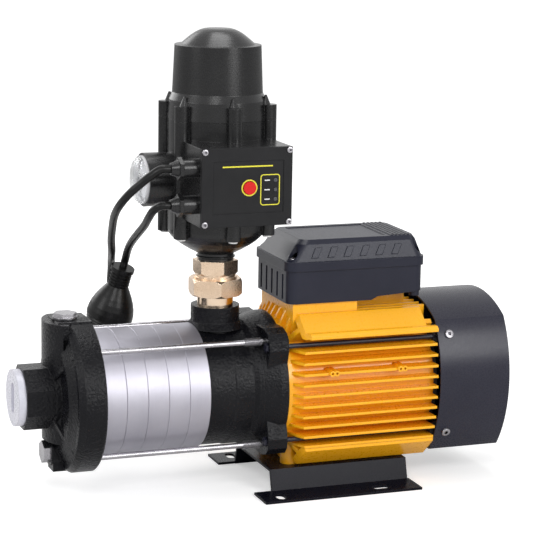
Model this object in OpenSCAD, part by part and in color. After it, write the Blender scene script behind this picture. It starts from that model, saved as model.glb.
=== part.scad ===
// Horizontal multistage pump on a sheet foot: an electric motor drives five pump stages,
// and an automatic pressure control stands on the outlet. Millimetres, +X from the inlet
// to the fan cover, -Y to the control panel, +Z up, origin between the foot's left slots.

/* [Layout] */
// Height of the shaft above the ground
shaft_h = 102.5; // [101:0.5:108]
// Distance from the foot's centre to the motor's front end
motor_back = 54; // [50:0.5:58]

/* [Foot bracket] */
// Length of the flanges
foot_len = 166; // [164:1:190]
// Width over both flanges
foot_w = 175; // [170:1:190]
// Thickness of the bent sheet
foot_t = 2.5; // [2:0.5:4]
// Height of the raised middle
hat_h = 23; // [21:0.5:26]
// Width of the raised middle at the top
hat_top_w = 98.8; // [94:0.2:104]
// Width of the raised middle at the flanges
hat_foot_w = 112; // [106:1:120]
// Reach of the raised middle to the left
hat_left = 65; // [60:1:75]
// Reach of the raised middle to the right
hat_right = 81; // [78:1:82]
// Width of the fixing slots
foot_hole_d = 9.5; // [7:0.5:11]
// Length of the left slots, which run across the foot
foot_cross_len = 17; // [12:0.5:20]
// Distance of the left slots from the foot's centre
foot_hole_x = 63; // [60:0.5:70]
// Spacing of the slots across the foot
foot_hole_w = 148; // [144:1:152]
// Length of the right slots, which run along the foot
foot_slot_len = 19.2; // [14:0.2:24]
// Distance of the right slots from the foot's centre
foot_slot_x = 43.8; // [38:0.1:55]
// Distance of the motor's foot bolts from each other along the shaft
foot_bolt_len = 96; // [80:1:110]
// Distance of the motor's foot bolts from each other across the shaft
foot_bolt_w = 60; // [50:1:70]

/* [Motor] */
// Length of the motor housing
housing_len = 155.5; // [150:0.5:165]
// Radius of the housing's tube
housing_r = 66; // [65:0.5:68]
// Bore of the housing, which is the stator's diameter
stator_d = 120; // [116:1:122]
// Length of the stator's sheets
stator_len = 62; // [50:1:70]
// Bore of the stator
stator_bore = 66; // [60:1:70]
// Air gap between rotor and stator
air_gap = 0.5; // [0.4:0.1:0.8]
// Reach of the side fins from the shaft
fin_reach = 78; // [76:0.5:79]
// Thickness of a cooling fin
fin_t = 2.6; // [2:0.1:3]
// Distance from one side fin to the next
side_fin_pitch = 10.6; // [10:0.1:11]
// Distance from one top fin to the next
top_fin_pitch = 12.1; // [11:0.1:12.5]
// Reach of the top fins from the shaft
top_fin_reach = 75; // [73:0.5:79]
// Length of the bracket between pump and motor
bracket_len = 23.5; // [22:0.5:28]
// Radius of the bracket's rim
bracket_r = 70; // [69:0.5:72]
// Outside diameter of the front bearing
front_bearing_d = 47; // [42:1:52]
// Width of the front bearing
front_bearing_w = 14; // [12:1:15]
// Outside diameter of the rear bearing
rear_bearing_d = 40; // [35:1:42]
// Width of the rear bearing
rear_bearing_w = 12; // [11:1:13]
// Diameter of the motor's through bolts
through_bolt_d = 5; // [4:0.5:6]

/* [Fan and cover] */
// Length of the fan cover
cover_len = 76; // [72:1:84]
// Half the width of the fan cover
cover_half_w = 79.5; // [79.5:0.5:82]
// Height of the fan cover's top above the shaft
cover_top = 81; // [80.5:0.5:84]
// Depth of the fan cover's flat bottom below the shaft
cover_bottom = 71; // [70.5:0.5:74]
// Radius of the fan cover's bowed sides
cover_side_r = 118; // [110:1:125]
// Radius of the fan cover's bowed top
cover_crown_r = 116; // [110:1:125]
// Thickness of the fan cover's sheet
cover_t = 1.6; // [1:0.1:2.5]
// Radius of the fan
fan_r = 61; // [55:1:64]
// Number of fan blades
fan_blades = 8; // [6:1:10]

/* [Pump stages] */
// Number of stages
stages = 5; // [5:1:5]
// Length of one stage
stage_len = 21; // [20:0.5:24]
// Outside diameter of a stage ring
stage_d = 123.2; // [122:0.2:124]
// Wall of a stage ring
ring_wall = 2; // [1.5:0.1:2.2]
// Diameter of an impeller
impeller_d = 92; // [84:1:96]
// Number of impeller vanes
impeller_vanes = 6; // [5:1:7]
// Number of diffuser vanes
diffuser_vanes = 8; // [6:1:9]
// Diameter of the shaft through the impellers
pump_shaft_d = 14; // [12:0.5:15]
// Diameter of the tie rods
rod_d = 5.6; // [5:0.1:6]
// Distance of the tie rods from the shaft
rod_radius = 72.6; // [71.5:0.1:73.5]

/* [Discharge casing] */
// Length of the discharge casing
case_len = 53.8; // [52:0.2:58]
// Radius of the discharge casing
case_r = 61; // [60:0.5:62]
// Distance of the outlet's centre from the last stage
outlet_in = 23.7; // [22:0.1:25]
// Radius of the outlet boss
outlet_r = 24; // [22:0.5:25]
// Height of the outlet boss above the shaft
outlet_top = 80.3; // [78:0.1:84]
// Radius of the outlet's one inch pipe thread
outlet_thread_r = 16.6; // [16:0.1:17]
// Depth of the outlet's thread
outlet_thread_len = 20; // [16:1:21]

/* [Suction casing] */
// Radius of the suction flange
flange_r = 76.5; // [76:0.5:79]
// Thickness of the suction flange
flange_t = 26.9; // [26:0.1:28]
// Width across the flats of the inlet boss
inlet_flats = 59.4; // [58:0.2:62]
// Reach of the inlet boss from the first stage
inlet_reach = 68.1; // [66:0.1:72]
// Radius of the inlet's bore, for a one and a quarter inch pipe thread
inlet_thread_r = 19.48; // [19:0.02:20]
// Length of the inlet's thread
inlet_thread_len = 21; // [18:0.5:22]
// Radius of the mouth that takes the cap
mouth_r = 22.5; // [22:0.1:23]
// Depth of the mouth
mouth_depth = 8; // [6:0.5:8.5]
// Radius of the inlet cap's rim
cap_r = 27.6; // [26:0.2:28.5]
// Thickness of the inlet cap's rim
cap_t = 7.6; // [6:0.2:9]
// Width across the flats of the priming plug
priming_flats = 20; // [18:0.5:22]
// Width across the flats of the drain plug
drain_flats = 19.7; // [18:0.1:20]

/* [Terminal box] */
// Length of the terminal box
box_len = 144; // [138:1:148]
// Width of the terminal box
box_w = 94; // [90:1:96]
// Distance of the terminal box from the motor's front end
box_in = 6; // [4:0.5:10]
// Height of the box's floor above the shaft
box_floor = 85; // [84:0.5:88]
// Height of the lid's flange above the shaft
lid_seam = 117.5; // [115:0.5:120]
// Height of the lid's top above the shaft
lid_top = 147; // [142:1:152]
// Wall of the box and its lid
box_wall = 2.5; // [2:0.1:3]
// Diameter of the capacitor
capacitor_d = 34; // [30:1:36]

/* [Outlet union] */
// Width across the flats of the socket's hexagon
socket_flats = 38.8; // [38.6:0.2:40]
// Width across the flats of the union nut
nut_flats = 48.3; // [47:0.1:50]
// Height of the union nut
nut_h = 17; // [15:0.5:19]
// Height of the socket's hexagon
socket_h = 14; // [13:0.5:16]

/* [Pressure control] */
// Height of the control's seam above the shaft
seam_h = 265.2; // [262:0.1:268]
// Height of the cap's top above the shaft
dome_top = 351.3; // [346:0.1:356]
// Radius of the control's body
body_r = 48; // [47.5:0.1:49]
// Distance of the six screw pillars from the control's axis
pillar_radius = 51; // [50:0.2:52]
// Radius of a screw pillar
pillar_r = 7.2; // [6.6:0.1:7.4]
// Width of the control box
panel_w = 89.8; // [86:0.2:94]
// Distance of the control box's face from the pump's centre line
panel_y = 88.6; // [86:0.2:92]
// Height of the control box's lower edge above the shaft
panel_low = 172.7; // [170:0.1:175]
// Height of the control box's upper edge above the shaft
panel_high = 247; // [244:0.5:249]
// Radius of the reset button
button_r = 6.1; // [5.5:0.1:7]
// Travel of the reset button
button_travel = 2.5; // [1.5:0.1:3]
// Radius of the gauge's shroud
shroud_r = 26; // [25:0.2:27]
// Reach of the gauge's shroud from the control's axis
shroud_reach = 75.1; // [72:0.1:80]
// Travel of the flow valve
valve_travel = 12; // [8:0.5:14]
// Distance of the side outlet's end from the control's axis
side_outlet_reach = 76; // [72:1:84]

/* [Cords] */
// Diameter of the cords
cord_d = 7.8; // [7.8:0.1:8]
// Reach of the cable glands from the control box
gland_reach = 25.5; // [25.5:0.1:25.6]

/* [Hidden] */
$fn = 64;

// Colours
casting = [0.10, 0.10, 0.11];
sheet_black = [0.16, 0.16, 0.18];
plastic = [0.12, 0.12, 0.13];
box_blue = [0.17, 0.18, 0.21];
yellow = [0.98, 0.66, 0.10];
steel = [0.74, 0.74, 0.76];
bright = [0.88, 0.88, 0.90];
brass = [0.80, 0.66, 0.46];
copper = [0.72, 0.38, 0.20];
white = [0.93, 0.93, 0.94];
red = [0.88, 0.12, 0.10];

// Overrun of every cut, and clearances
cut = 1;
thread_gap = 0.1;
slide_gap = 0.3;
running_gap = 0.05;
seat_gap = 0.05;
stack_gap = 0.1;
hole_gap = 1;

// A quarter turn, and stations along the shaft
quarter = 90;
foot_x = foot_hole_x;
foot_flange_w = (foot_w - hat_foot_w) / 2 + foot_t;
motor_x = foot_x - motor_back;
motor_end = motor_x + housing_len;
bracket_x = motor_x - bracket_len;
case_x = bracket_x - case_len;
stage_x = case_x - stages * stage_len;
inlet_x = stage_x - inlet_reach;
outlet_x = case_x + outlet_in;

// Shaft sizes
seal_shaft_r = pump_shaft_d / 2 + 2;
front_seat_r = seal_shaft_r + 1;
core_shaft_r = front_seat_r + 2;
rear_seat_r = front_seat_r - 1.5;
fan_shaft_r = rear_seat_r - 1.5;

// Bearing and shield places
spigot_len = 4;
front_bearing_x = motor_x - front_bearing_w;
shield_t = 4;
bearing_lip = 2;
rear_bearing_x = motor_end - rear_bearing_w;
shield_hub_r = rear_bearing_d / 2 + 6;
stator_x = motor_x + (housing_len - stator_len) * 0.53;
winding_out = 20;
stator_slots = 24;
slot_depth = 14;
slot_w = 4.4;
slot_in = 3;

// Fan cover places
cover_x = motor_end + 2;
cover_end = cover_x + cover_len;
cover_screw_x = motor_end + 14;
cover_screw_h = 50;
lug_reach = 20;
lug_in = 18;
lug_h = 16;
cover_screw_r = 2;
cover_screw_len = 10;
cover_head_r = 4.5;
cover_head_h = 2.4;
cover_tilt = asin(cover_screw_h / cover_side_r);
cover_side_y = cover_side_r * cos(cover_tilt) - (cover_side_r - cover_half_w);
lug_tilt = asin((cover_screw_h + lug_h / 2) / (cover_side_r - cover_t));
lug_y = (cover_side_r - cover_t) * cos(lug_tilt) - (cover_side_r - cover_half_w);
cover_slots = 24;
cover_slot_w = 3.4;
fan_x = cover_screw_x + 8;
fan_depth = 30;
fan_hub_r = fan_shaft_r + 6;
fan_disc_t = 2.5;
blade_t = 2;

// Through bolts and lugs at the motor's corners
bolt_y = 60;
bolt_h = 47;
lug_shares = [[0.37, 0.90], [0.69, 0.91], [0.86, 0.86], [0.94, 0.77], [0.96, 0.63], [0.88, 0.37],
              [0.60, 0.40]];
rod_offset = rod_radius * cos(45);
lug_x = bracket_x + 3.5;
rod_nut_h = 5;
rod_nut_flats = 10;
nut_pocket = rod_nut_h + 1;

// Motor housing's section, as shares of the side and top reach
slab_shares = [[0.56, 1.00], [0.60, 1.00], [0.885, 0.76], [0.885, 0.72], [0.82, 0.72], [0.56, 0.93]];
lip_shares = [[0.84, 0.73], [0.84, 0.80], [0.92, 0.80], [0.955, 0.77], [0.955, 0.73]];
slab_short = 9;
fin_lean = 0.55;
bump_x = [motor_x + 43.6, motor_x + 115.9];
bump_h = 21;
bump_r = 2.9;
bump_side = bump_r * 0.8;
bump_bore = 1.2;
bump_out = fin_reach + 1.5;
pedestal_len = 68;
corner_turn = 42;
corner_reach = fin_reach * 1.07;
fin_droop = 6;
fin_span = 45;
side_fins = 10;
side_fin_top = 41.6;
top_fins = 7;
fin_inset = 3.5;
pedestal_w = 88;
pad_h = shaft_h - hat_h;
pad_r = 9;
foot_bolt_r = 3;
foot_head_r = 5.5;
foot_head_h = 3.6;
foot_bolt_mid = foot_x + 10;

// Stage sizes
stage_r = stage_d / 2;
ring_bore = stage_r - ring_wall;
ring_chamfer = 0.4;
hub_r = pump_shaft_d / 2 + 5;
eye_r = 20.5;
shroud_t = 1.2;
plate_t = 1.5;
band_t = 1.5;
vane_t = 1.6;
passage = 5;
eye_wall = 1.5;
impeller_from = 3;
impeller_h = 8.5;
guide_from = 13;
nut_len = 8;

// Suction casing
lip_r = 67;
lip_t = 2.2;
rod_grip = 18;
cavity_r = 52;
dish_r = 60;
front_wall = 8;
boss_len = 29;
priming_x = stage_x - 23.7;
priming_top = 76;
priming_pad_r = 14;
priming_thread_r = 8.2;
box_half = 20;
chamber_x = stage_x - 46;
chamber_r = 40;
chamber_half = 29;
pocket_d = 4;
gusset_t = 5;
gusset_in = 8;
flange_edge = 1.5;
flange_bevel = 4;
dish_d = 3;
dish_in = 5;
boss_rim = 2;
drain_wall = 6;
drain_h = 56;
drain_x = stage_x - 40.5;
drain_thread_r = 6;
drain_boss_r = 14;
plug_head = 7;
plug_washer_t = 1.4;
plug_thread_len = 17.3;

// Discharge casing
flare_r = 66;
flare_len = 9;
case_edge = 1;
case_step = 0.8;
fillet_r = 5.5;
rear_wall = 8.5;
seal_face_t = 4;
seal_seat_r = 17;
seal_seat_t = 6;
seal_head_r = 15;
seal_head_len = 16;

// Terminal box
box_x = motor_x + box_in;
box_end = box_x + box_len;
box_corner_r = 9;
lid_rim = 2;
lid_flange = 9;
lid_left_in = 16;
lid_right_in = 5.5;
lid_slope_in = 7;
lid_crown_d = 4;
emboss_count = 6;
emboss_t = 0.8;
emboss_w = 7;
emboss_h = 10;
emboss_skew = 2.5;
emboss_pitch = 17;
ridge_count = 5;
ridge_pitch = 4.4;
step_x = box_x + 88;
step_rise = 6.5;
box_slots = 5;
box_slot_w = 4;
block_x = box_x + 24;
block_d = 16;
block_h = 18;
terminals = 6;
terminal_pitch = 10;
capacitor_x = box_x + 13;
box_gland_x = foot_x + 25;
box_gland_h = 102;
box_gland_reach = 22;
lid_screw_in = 7;
lid_screw_r = 1.9;
lid_post_r = 5;
lid_head_r = 4;
lid_pocket = 1.2;

// Outlet union
union_base = outlet_top + 10;
union_bore = 12.5;
tail_r = 17.7;
tail_collar_r = 21.3;
nut_lip = 4;
tail_collar_t = 4;
chamfer = 1;
nut_turn = 23;
socket_turn = 33;
ring_t = 1.6;
socket_neck_r = 19.6;
socket_base = union_base + nut_h + 4;
socket_top = socket_base + socket_h;

// Pressure control, heights above the shaft
spigot_low = socket_top - 11;
spigot_r = 17.7;
bowl_low = 132.8;
bowl_mid = 146.6;
ring_low = bowl_low - 5;
bowl_high = 157;
body_wall = 4;
collar_w = 5;
rim_d = 6;
guide_t = 2;
panel_corner = 5;
panel_screw_len = 12;
panel_head_t = 1.2;
gauge_stub_r = 4;
valve_seat_h = bowl_mid + 4;
valve_r = 14;
valve_bore = 12;
valve_t = 4;
stem_r = 3;
guide_r = 6;
guide_low = spigot_low + 4;
guide_h = 12;
cap_shoulder_h = dome_top - 15.5;
skirt_h = seam_h + 18;
neck_h = seam_h + 25;
dome_r = 36.2;
dome_flat_r = 10;
dome_steps = 8;
dome_low = cap_shoulder_h + 0.6;
dome_points = [for (i = [0 : dome_steps]) let (t = i / dome_steps)
    [dome_r + (dome_flat_r - dome_r) * t, dome_low + (dome_top - dome_low) * sin(90 * t)]];
gauge_h = 206.8;
side_outlet_r = outlet_thread_r;
pillar_low = 152;
back_pillar = 1;
pillar_high = seam_h + 14.5;
arch_h = 10;
arch_r = pillar_r * 0.72;
bowl_steps = 6;
bowl_bend = 0.6;
bowl_from_r = spigot_r + 1.5;
bowl_points = [for (i = [0 : bowl_steps]) let (t = i / bowl_steps)
    [bowl_from_r + (body_r - bowl_from_r) * (2 * t - t * t),
     bowl_low + (bowl_high - bowl_low) * (2 * t * (1 - t) * bowl_bend + t * t)]];
control_screw_r = 2.1;
control_head_r = 4.4;
control_head_h = 2;
back_pillar_low = gauge_h + side_outlet_r + collar_w + 2 * control_head_h;
screw_grip = 9;
panel_x0 = outlet_x - panel_w / 2;
panel_x1 = outlet_x + panel_w / 2;
cover_plate_t = 4.6;
panel_back_y = 30;
panel_wall = 3;
panel_floor_y = 56;
panel_screw_in = 3;
panel_screw_r = 1.5;
panel_head_r = 3;
recess_d = 0.8;
recess_in = 12.3;
button_x = outlet_x + panel_w * 0.027;
button_h = 209.2;
lamp_x = panel_x1 - panel_w * 0.185;
lamp_h = 206.8;
lamp_pitch = 9;
lamp_r = 1.8;
board_y = 73.4;
board_t = 1.6;
board_in = 9.5;
switch_h = 3;
button_tip = -board_y - board_t - switch_h - button_travel - slide_gap;
gauge_x = outlet_x - shroud_reach;
gauge_case_r = shroud_r - 2.6;
gauge_len = 20;
dial_in = 2;
case_out = 2.5;
lens_rise = 8.5;
lens_t = 1.4;
lens_steps = 6;
needle_pin_r = 1;
needle_hub = 2.4;
needle_t = 0.8;
stub_len = 8;
needle_rest = -135;
side_bore = 12;
gland_y = 72;
gland_heights = [192.9, 227.3];
gland_r = 9;
gland_nut_flats = 17.4;
gland_lip = 2;
gland_nut_h = 4;

// Cord routes
cord_sides = 8;
mains_route = [
    [-115, -72, 295.4], [-123, -72, 295.4], [-128, -65, 291], [-128.5, -50, 281.5],
    [-126, -28, 270], [-122.5, 4, 256.5], [-119, 34, 244], [-116, 56, 234],
    [-113.8, 71, 225], [-113.1, 80, 215.3], [-114.6, 82, 207.7]
];
motor_route = [
    [-115, -72, 329.8], [-124, -72, 329.8], [-134, -70.5, 323.5], [-143, -67, 315.5], [-151, -60, 306],
    [-155.5, -45, 293.5], [-154, -22, 280], [-148, 6, 264], [-141, 34, 246], [-133, 60, 230],
    [-123, 96, 213.5], [-119, 110, 202], [-116.5, 121, 187], [-114.5, 128, 168], [-112.5, 132, 147],
    [-107, 132, 125], [-94, 130, 106], [-72, 125, 95], [-43, 119, 92], [-14, 114, 97],
    [13, 110, 109], [36, 107, 126], [55, 105, 145], [70, 104, 165], [80, 102, 184],
    [85.5, 97, 197], [88, 88, 203.5], [88, 79, 204.5], [88, 71, 204.5]
];

// Plug, along its own axis from the cord's end
plug_top = mains_route[len(mains_route) - 1];
plug_dir = plug_top - mains_route[len(mains_route) - 2];
plug_collar_r = 12;
plug_collar_t = 4;
plug_neck_r = 9.5;
plug_neck_len = 16;
plug_rib_r = 10.8;
plug_ribs = 4;
plug_bell_len = 34;
plug_bell_r = 24;
plug_rim_len = 9;
plug_len = plug_collar_t + plug_neck_len + plug_bell_len + plug_rim_len;
bell_steps = 6;
bell_points = [for (i = [0 : bell_steps]) let (t = i / bell_steps)
    [plug_neck_r + 1 + (plug_bell_r - plug_neck_r - 1) * sin(quarter * t), plug_bell_len * t]];
rim_groove = 0.9;
rim_steps = 6;
rim_points = [for (i = [1 : rim_steps])
    [plug_bell_r - (i % 2) * rim_groove - i * rim_groove / 3, plug_bell_len + plug_rim_len * i / rim_steps]];
blade = [6.4, 1.7, 17];
blade_r = 7.9;
blade_turn = 30;

// A round bar along the shaft
module bar_x(x0, x1, r) {
    translate([x0, 0, shaft_h]) rotate([0, 90, 0]) cylinder(h = x1 - x0, r = r);
}

// A tube along the shaft
module tube_x(x0, x1, outer, inner) {
    difference() {
        bar_x(x0, x1, outer);
        bar_x(x0 - cut, x1 + cut, inner);
    }
}

// A section in Y and Z drawn about the shaft and extruded from x0 to x1
module along_x(x0, x1) {
    translate([x0, 0, shaft_h]) rotate([90, 0, 90]) linear_extrude(x1 - x0) children();
}

// A profile of radius and length turned about the shaft, its length running to -X
module turned_x(x) {
    translate([x, 0, shaft_h]) rotate([0, -90, 0]) rotate_extrude() children();
}

// A box between two corners, its heights above the shaft
module block(x, y, h) {
    translate([x[0], y[0], shaft_h + h[0]]) cube([x[1] - x[0], y[1] - y[0], h[1] - h[0]]);
}

// An upright round bar, its heights above the shaft
module post(x, y, h0, h1, r) {
    translate([x, y, shaft_h + h0]) cylinder(h = h1 - h0, r = r);
}

// A round bar along Y at a height above the shaft
module bar_y(x, y0, y1, h, r) {
    translate([x, y1, shaft_h + h]) rotate([90, 0, 0]) cylinder(h = y1 - y0, r = r);
}

// A hexagon of a given width across its flats
module hexagon(flats, h) {
    cylinder(h = h, r = flats / 2 / cos(30), $fn = 6);
}

// An upright plate with round corners, its heights above the shaft
module round_plate(x, half_w, h, r) {
    block([x[0] + r, x[1] - r], [-half_w, half_w], h);
    block(x, [r - half_w, half_w - r], h);
    for (px = [x[0] + r, x[1] - r], side = [-1, 1]) post(px, side * (half_w - r), h[0], h[1], r);
}

// The four corners around the shaft at y and h
module four_corners(y, h) {
    for (side = [-1, 1], up = [-1, 1]) translate([0, side * y, up * h]) children();
}

// The six places of the control's pillars
module six_pillars() {
    for (i = [0 : 5]) translate([outlet_x, 0, shaft_h]) rotate(30 + 60 * i) translate([pillar_radius, 0, 0]) {
        $pillar_low = i == back_pillar ? back_pillar_low : pillar_low;
        children();
    }
}

// Foot
module foot_bracket() color(sheet_black) difference() {
    union() {
        translate([foot_x - hat_left, 0, 0]) rotate([90, 0, 90]) linear_extrude(hat_left + hat_right)
            difference() {
                polygon([[-hat_foot_w / 2, 0], [-hat_top_w / 2, hat_h], [hat_top_w / 2, hat_h],
                         [hat_foot_w / 2, 0]]);
                polygon([[foot_t - hat_foot_w / 2, -foot_t], [foot_t - hat_top_w / 2, hat_h - foot_t],
                         [hat_top_w / 2 - foot_t, hat_h - foot_t], [hat_foot_w / 2 - foot_t, -foot_t]]);
            }
        for (side = [-1, 1])
            translate([foot_x - foot_len / 2, (side * (foot_w - foot_flange_w) - foot_flange_w) / 2, 0])
                cube([foot_len, foot_flange_w, foot_t]);
    }
    for (side = [-1, 1]) translate([0, side * foot_hole_w / 2, -cut]) {
        rotate(90) foot_slot(foot_cross_len);
        translate([foot_x + foot_slot_x, 0, 0]) foot_slot(foot_slot_len);
    }
    foot_bolt_places() translate([0, 0, -cut]) cylinder(h = hat_h + 2 * cut, r = foot_bolt_r + slide_gap);
}

module foot_slot(len) {
    half = (len - foot_hole_d) / 2;
    for (end = [-1, 1]) translate([end * half, 0, 0]) cylinder(h = foot_t + 2 * cut, d = foot_hole_d);
    translate([-half, -foot_hole_d / 2, 0]) cube([2 * half, foot_hole_d, foot_t + 2 * cut]);
}

module foot_bolt_places() {
    for (end = [-1, 1], side = [-1, 1])
        translate([foot_bolt_mid + end * foot_bolt_len / 2, side * foot_bolt_w / 2, 0]) children();
}

module foot_bolts() color(steel) foot_bolt_places() {
    translate([0, 0, hat_h - foot_t - foot_head_h]) hexagon(2 * foot_head_r * cos(30), foot_head_h);
    translate([0, 0, hat_h - foot_t]) cylinder(h = foot_t + pad_r, r = foot_bolt_r);
}

// Motor housing: tube, side fins, top fins, corner slabs, foot pads and pedestal
function fin_tip(h) = fin_reach - fin_droop * pow(h / fin_span, 2);

module fin_section() {
    for (i = [0 : side_fins - 1]) {
        h = side_fin_top - i * side_fin_pitch;
        translate([-fin_tip(h), h - fin_t / 2]) square([2 * fin_tip(h), fin_t]);
    }
    for (i = [0 : top_fins - 1]) {
        y = (i - (top_fins - 1) / 2) * top_fin_pitch;
        translate([y - fin_t / 2, 0]) square([fin_t, top_fin_reach]);
        translate([y - fin_t / 2, cut - pad_h]) square([fin_t, pad_h]);
    }
    for (side = [-1, 1]) {
        polygon([for (s = lip_shares) [side * s[0] * fin_reach, s[1] * top_fin_reach]]);
        polygon([for (s = slab_shares) [side * s[0] * fin_reach, -s[1] * (pad_h - foot_t)]]);
        rotate(corner_turn * side) translate([-fin_t, -corner_reach]) square([2 * fin_t, 2 * corner_reach]);
    }
}

// Upper slabs, which end short of the fan cover
module slab_section() for (side = [-1, 1])
    polygon([for (s = slab_shares) [side * s[0] * fin_reach, s[1] * top_fin_reach]]);

// Two holed bumps that the rating plate's rivets would use
module plate_bumps() for (x = bump_x, end = [-1, 1])
    bar_y(x + end * bump_side, -bump_out, -housing_r * 0.9, bump_h, bump_r);

// The fins' left ends lean back as they rise
module fin_ends() turned_x(motor_x + fin_inset) polygon([
    [housing_r - cut, cut], [housing_r - cut, -cut], [2 * housing_r, -cut - fin_lean * (housing_r + cut)],
    [2 * housing_r, cut]]);

module motor_housing() color(yellow) difference() {
    union() {
        bar_x(motor_x, motor_end, housing_r);
        difference() {
            union() {
                along_x(motor_x + fin_inset, motor_end) fin_section();
                along_x(motor_x + fin_inset, motor_end - slab_short) slab_section();
            }
            fin_ends();
        }
        plate_bumps();
        block([box_x + box_in, box_x + box_in + pedestal_len], [-pedestal_w / 2, pedestal_w / 2],
              [housing_r / 2, box_floor]);
        block([box_x + box_in, box_end - box_corner_r], [-box_half, box_half], [housing_r / 2, box_floor]);
        foot_bolt_places() translate([0, 0, hat_h]) cylinder(h = pad_h / 2, r = pad_r);
    }
    bar_x(motor_x - cut, motor_end + cut, stator_d / 2);
    for (x = bump_x, end = [-1, 1])
        bar_y(x + end * bump_side, -bump_out - cut, -fin_reach * 0.95, bump_h, bump_bore);
    foot_bolt_places() translate([0, 0, hat_h - cut])
        cylinder(h = pad_r + 2 * cut, r = foot_bolt_r + thread_gap);
    four_corners(bolt_y, bolt_h) bar_x(motor_x - cut, motor_end + cut, through_bolt_d / 2 + slide_gap);
}

module motor_bracket() color(casting) difference() {
    union() {
        turned_x(motor_x) polygon([[0, -spigot_len], [stator_d / 2, -spigot_len], [stator_d / 2, 0],
                                   [bracket_r, 0], [bracket_r, bracket_len / 3],
                                   [flare_r, bracket_len], [0, bracket_len]]);
        for (side = [-1, 1], up = [-1, 1]) along_x(lug_x, motor_x)
            polygon([for (s = lug_shares) [side * s[0] * bracket_r, up * s[1] * bracket_r]]);
    }
    bar_x(front_bearing_x, motor_x + spigot_len + cut, front_bearing_d / 2);
    bar_x(bracket_x - cut, front_bearing_x + cut, front_seat_r + hole_gap);
    bar_x(motor_x, motor_x + spigot_len + cut, stator_d / 2 - spigot_len);
    four_corners(rod_offset, rod_offset) {
        bar_x(bracket_x - cut, motor_x + cut, rod_d / 2 + thread_gap);
        bar_x(motor_x - nut_pocket, motor_x + cut, rod_nut_flats / 2 / cos(30) + slide_gap);
    }
    four_corners(bolt_y, bolt_h) bar_x(bracket_x - cut, motor_x + cut, through_bolt_d / 2 + thread_gap);
}

module rear_shield() color(casting) difference() {
    union() {
        bar_x(motor_end, motor_end + shield_t, housing_r);
        bar_x(motor_end - spigot_len, motor_end, stator_d / 2);
        for (side = [-1, 1], up = [-1, 1])
            translate([0, side * (lug_y - lug_in / 2), up * cover_screw_h])
                block([motor_end, motor_end + lug_reach], [-lug_in / 2, lug_in / 2], [-lug_h / 2, lug_h / 2]);
        bar_x(rear_bearing_x - shield_t, motor_end, shield_hub_r);
    }
    bar_x(rear_bearing_x, motor_end + cut, rear_bearing_d / 2);
    bar_x(rear_bearing_x - shield_t - cut, motor_end, core_shaft_r + hole_gap);
    difference() {
        bar_x(motor_end - spigot_len - cut, motor_end, stator_d / 2 - spigot_len);
        bar_x(motor_end - spigot_len - cut, motor_end + cut, shield_hub_r);
    }
    bar_x(motor_end, motor_end + shield_t + cut, rear_bearing_d / 2 - bearing_lip);
    four_corners(bolt_y, bolt_h)
        bar_x(motor_end - cut, motor_end + lug_reach / 2, through_bolt_d / 2 + thread_gap);
    cover_screw_places() cylinder(h = 3 * cover_screw_len, r = cover_screw_r + thread_gap, center = true);
}

module through_bolts() color(sheet_black) four_corners(bolt_y, bolt_h) {
    bar_x(lug_x, motor_end + lug_reach / 2, through_bolt_d / 2);
    translate([lug_x, 0, shaft_h]) rotate([0, -90, 0]) hexagon(1.6 * through_bolt_d, through_bolt_d / 2);
}

// A bearing: two rings with a ring of balls between them
module bearing(x, w, outer, bore) color(steel) {
    pitch_r = (outer + bore) / 2;
    race = (outer - bore) / 4;
    ball_r = race * 0.9;
    balls = floor(180 / asin(ball_r / pitch_r) * 0.8);
    difference() {
        union() {
            tube_x(x, x + w, outer, outer - race);
            tube_x(x, x + w, bore + race, bore);
        }
        translate([x + w / 2, 0, shaft_h]) rotate([0, 90, 0]) rotate_extrude() translate([pitch_r, 0])
            circle(r = ball_r + thread_gap);
    }
    for (i = [1 : balls]) translate([x + w / 2, 0, shaft_h]) rotate([i * 360 / balls, 0, 0])
        translate([0, pitch_r, 0]) sphere(r = ball_r);
}

module front_bearing()
    bearing(front_bearing_x, front_bearing_w, front_bearing_d / 2, front_seat_r + running_gap);

module rear_bearing()
    bearing(rear_bearing_x, rear_bearing_w, rear_bearing_d / 2, rear_seat_r + running_gap);

module stator_slot_places() {
    for (i = [1 : stator_slots]) translate([0, 0, shaft_h]) rotate([i * 360 / stator_slots, 0, 0])
        translate([0, 0, -shaft_h]) children();
}

module slot_bar(x0, x1, from) {
    block([x0, x1], [-slot_w / 2, slot_w / 2], [from, stator_bore / 2 + slot_in + slot_depth]);
}

module stator_core() color(steel) difference() {
    tube_x(stator_x, stator_x + stator_len, stator_d / 2, stator_bore / 2);
    stator_slot_places() slot_bar(stator_x - cut, stator_x + stator_len + cut, stator_bore / 2 + slot_in);
}

module stator_windings() color(copper) {
    for (x = [stator_x - winding_out, stator_x + stator_len])
        tube_x(x, x + winding_out, stator_bore / 2 + slot_in + slot_depth, stator_bore / 2 + slot_in);
    stator_slot_places() slot_bar(stator_x - cut, stator_x + stator_len + cut, stator_bore / 2 + slot_in);
}

module rotor_core() color(steel) {
    tube_x(stator_x, stator_x + stator_len, stator_bore / 2 - air_gap, core_shaft_r);
    for (x = [stator_x - winding_out / 3, stator_x + stator_len])
        tube_x(x - cut, x + winding_out / 3 + cut, stator_bore / 2 - air_gap, stator_bore / 3);
}

module shaft() color(bright) {
    bar_x(stage_x - nut_len, case_x, pump_shaft_d / 2);
    bar_x(case_x, bracket_x, seal_shaft_r);
    bar_x(bracket_x, motor_x + seat_gap, front_seat_r);
    bar_x(motor_x + seat_gap, rear_bearing_x - seat_gap, core_shaft_r);
    bar_x(rear_bearing_x - seat_gap, motor_end + shield_t, rear_seat_r);
    bar_x(motor_end + shield_t, fan_x + fan_depth, fan_shaft_r);
}

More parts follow.
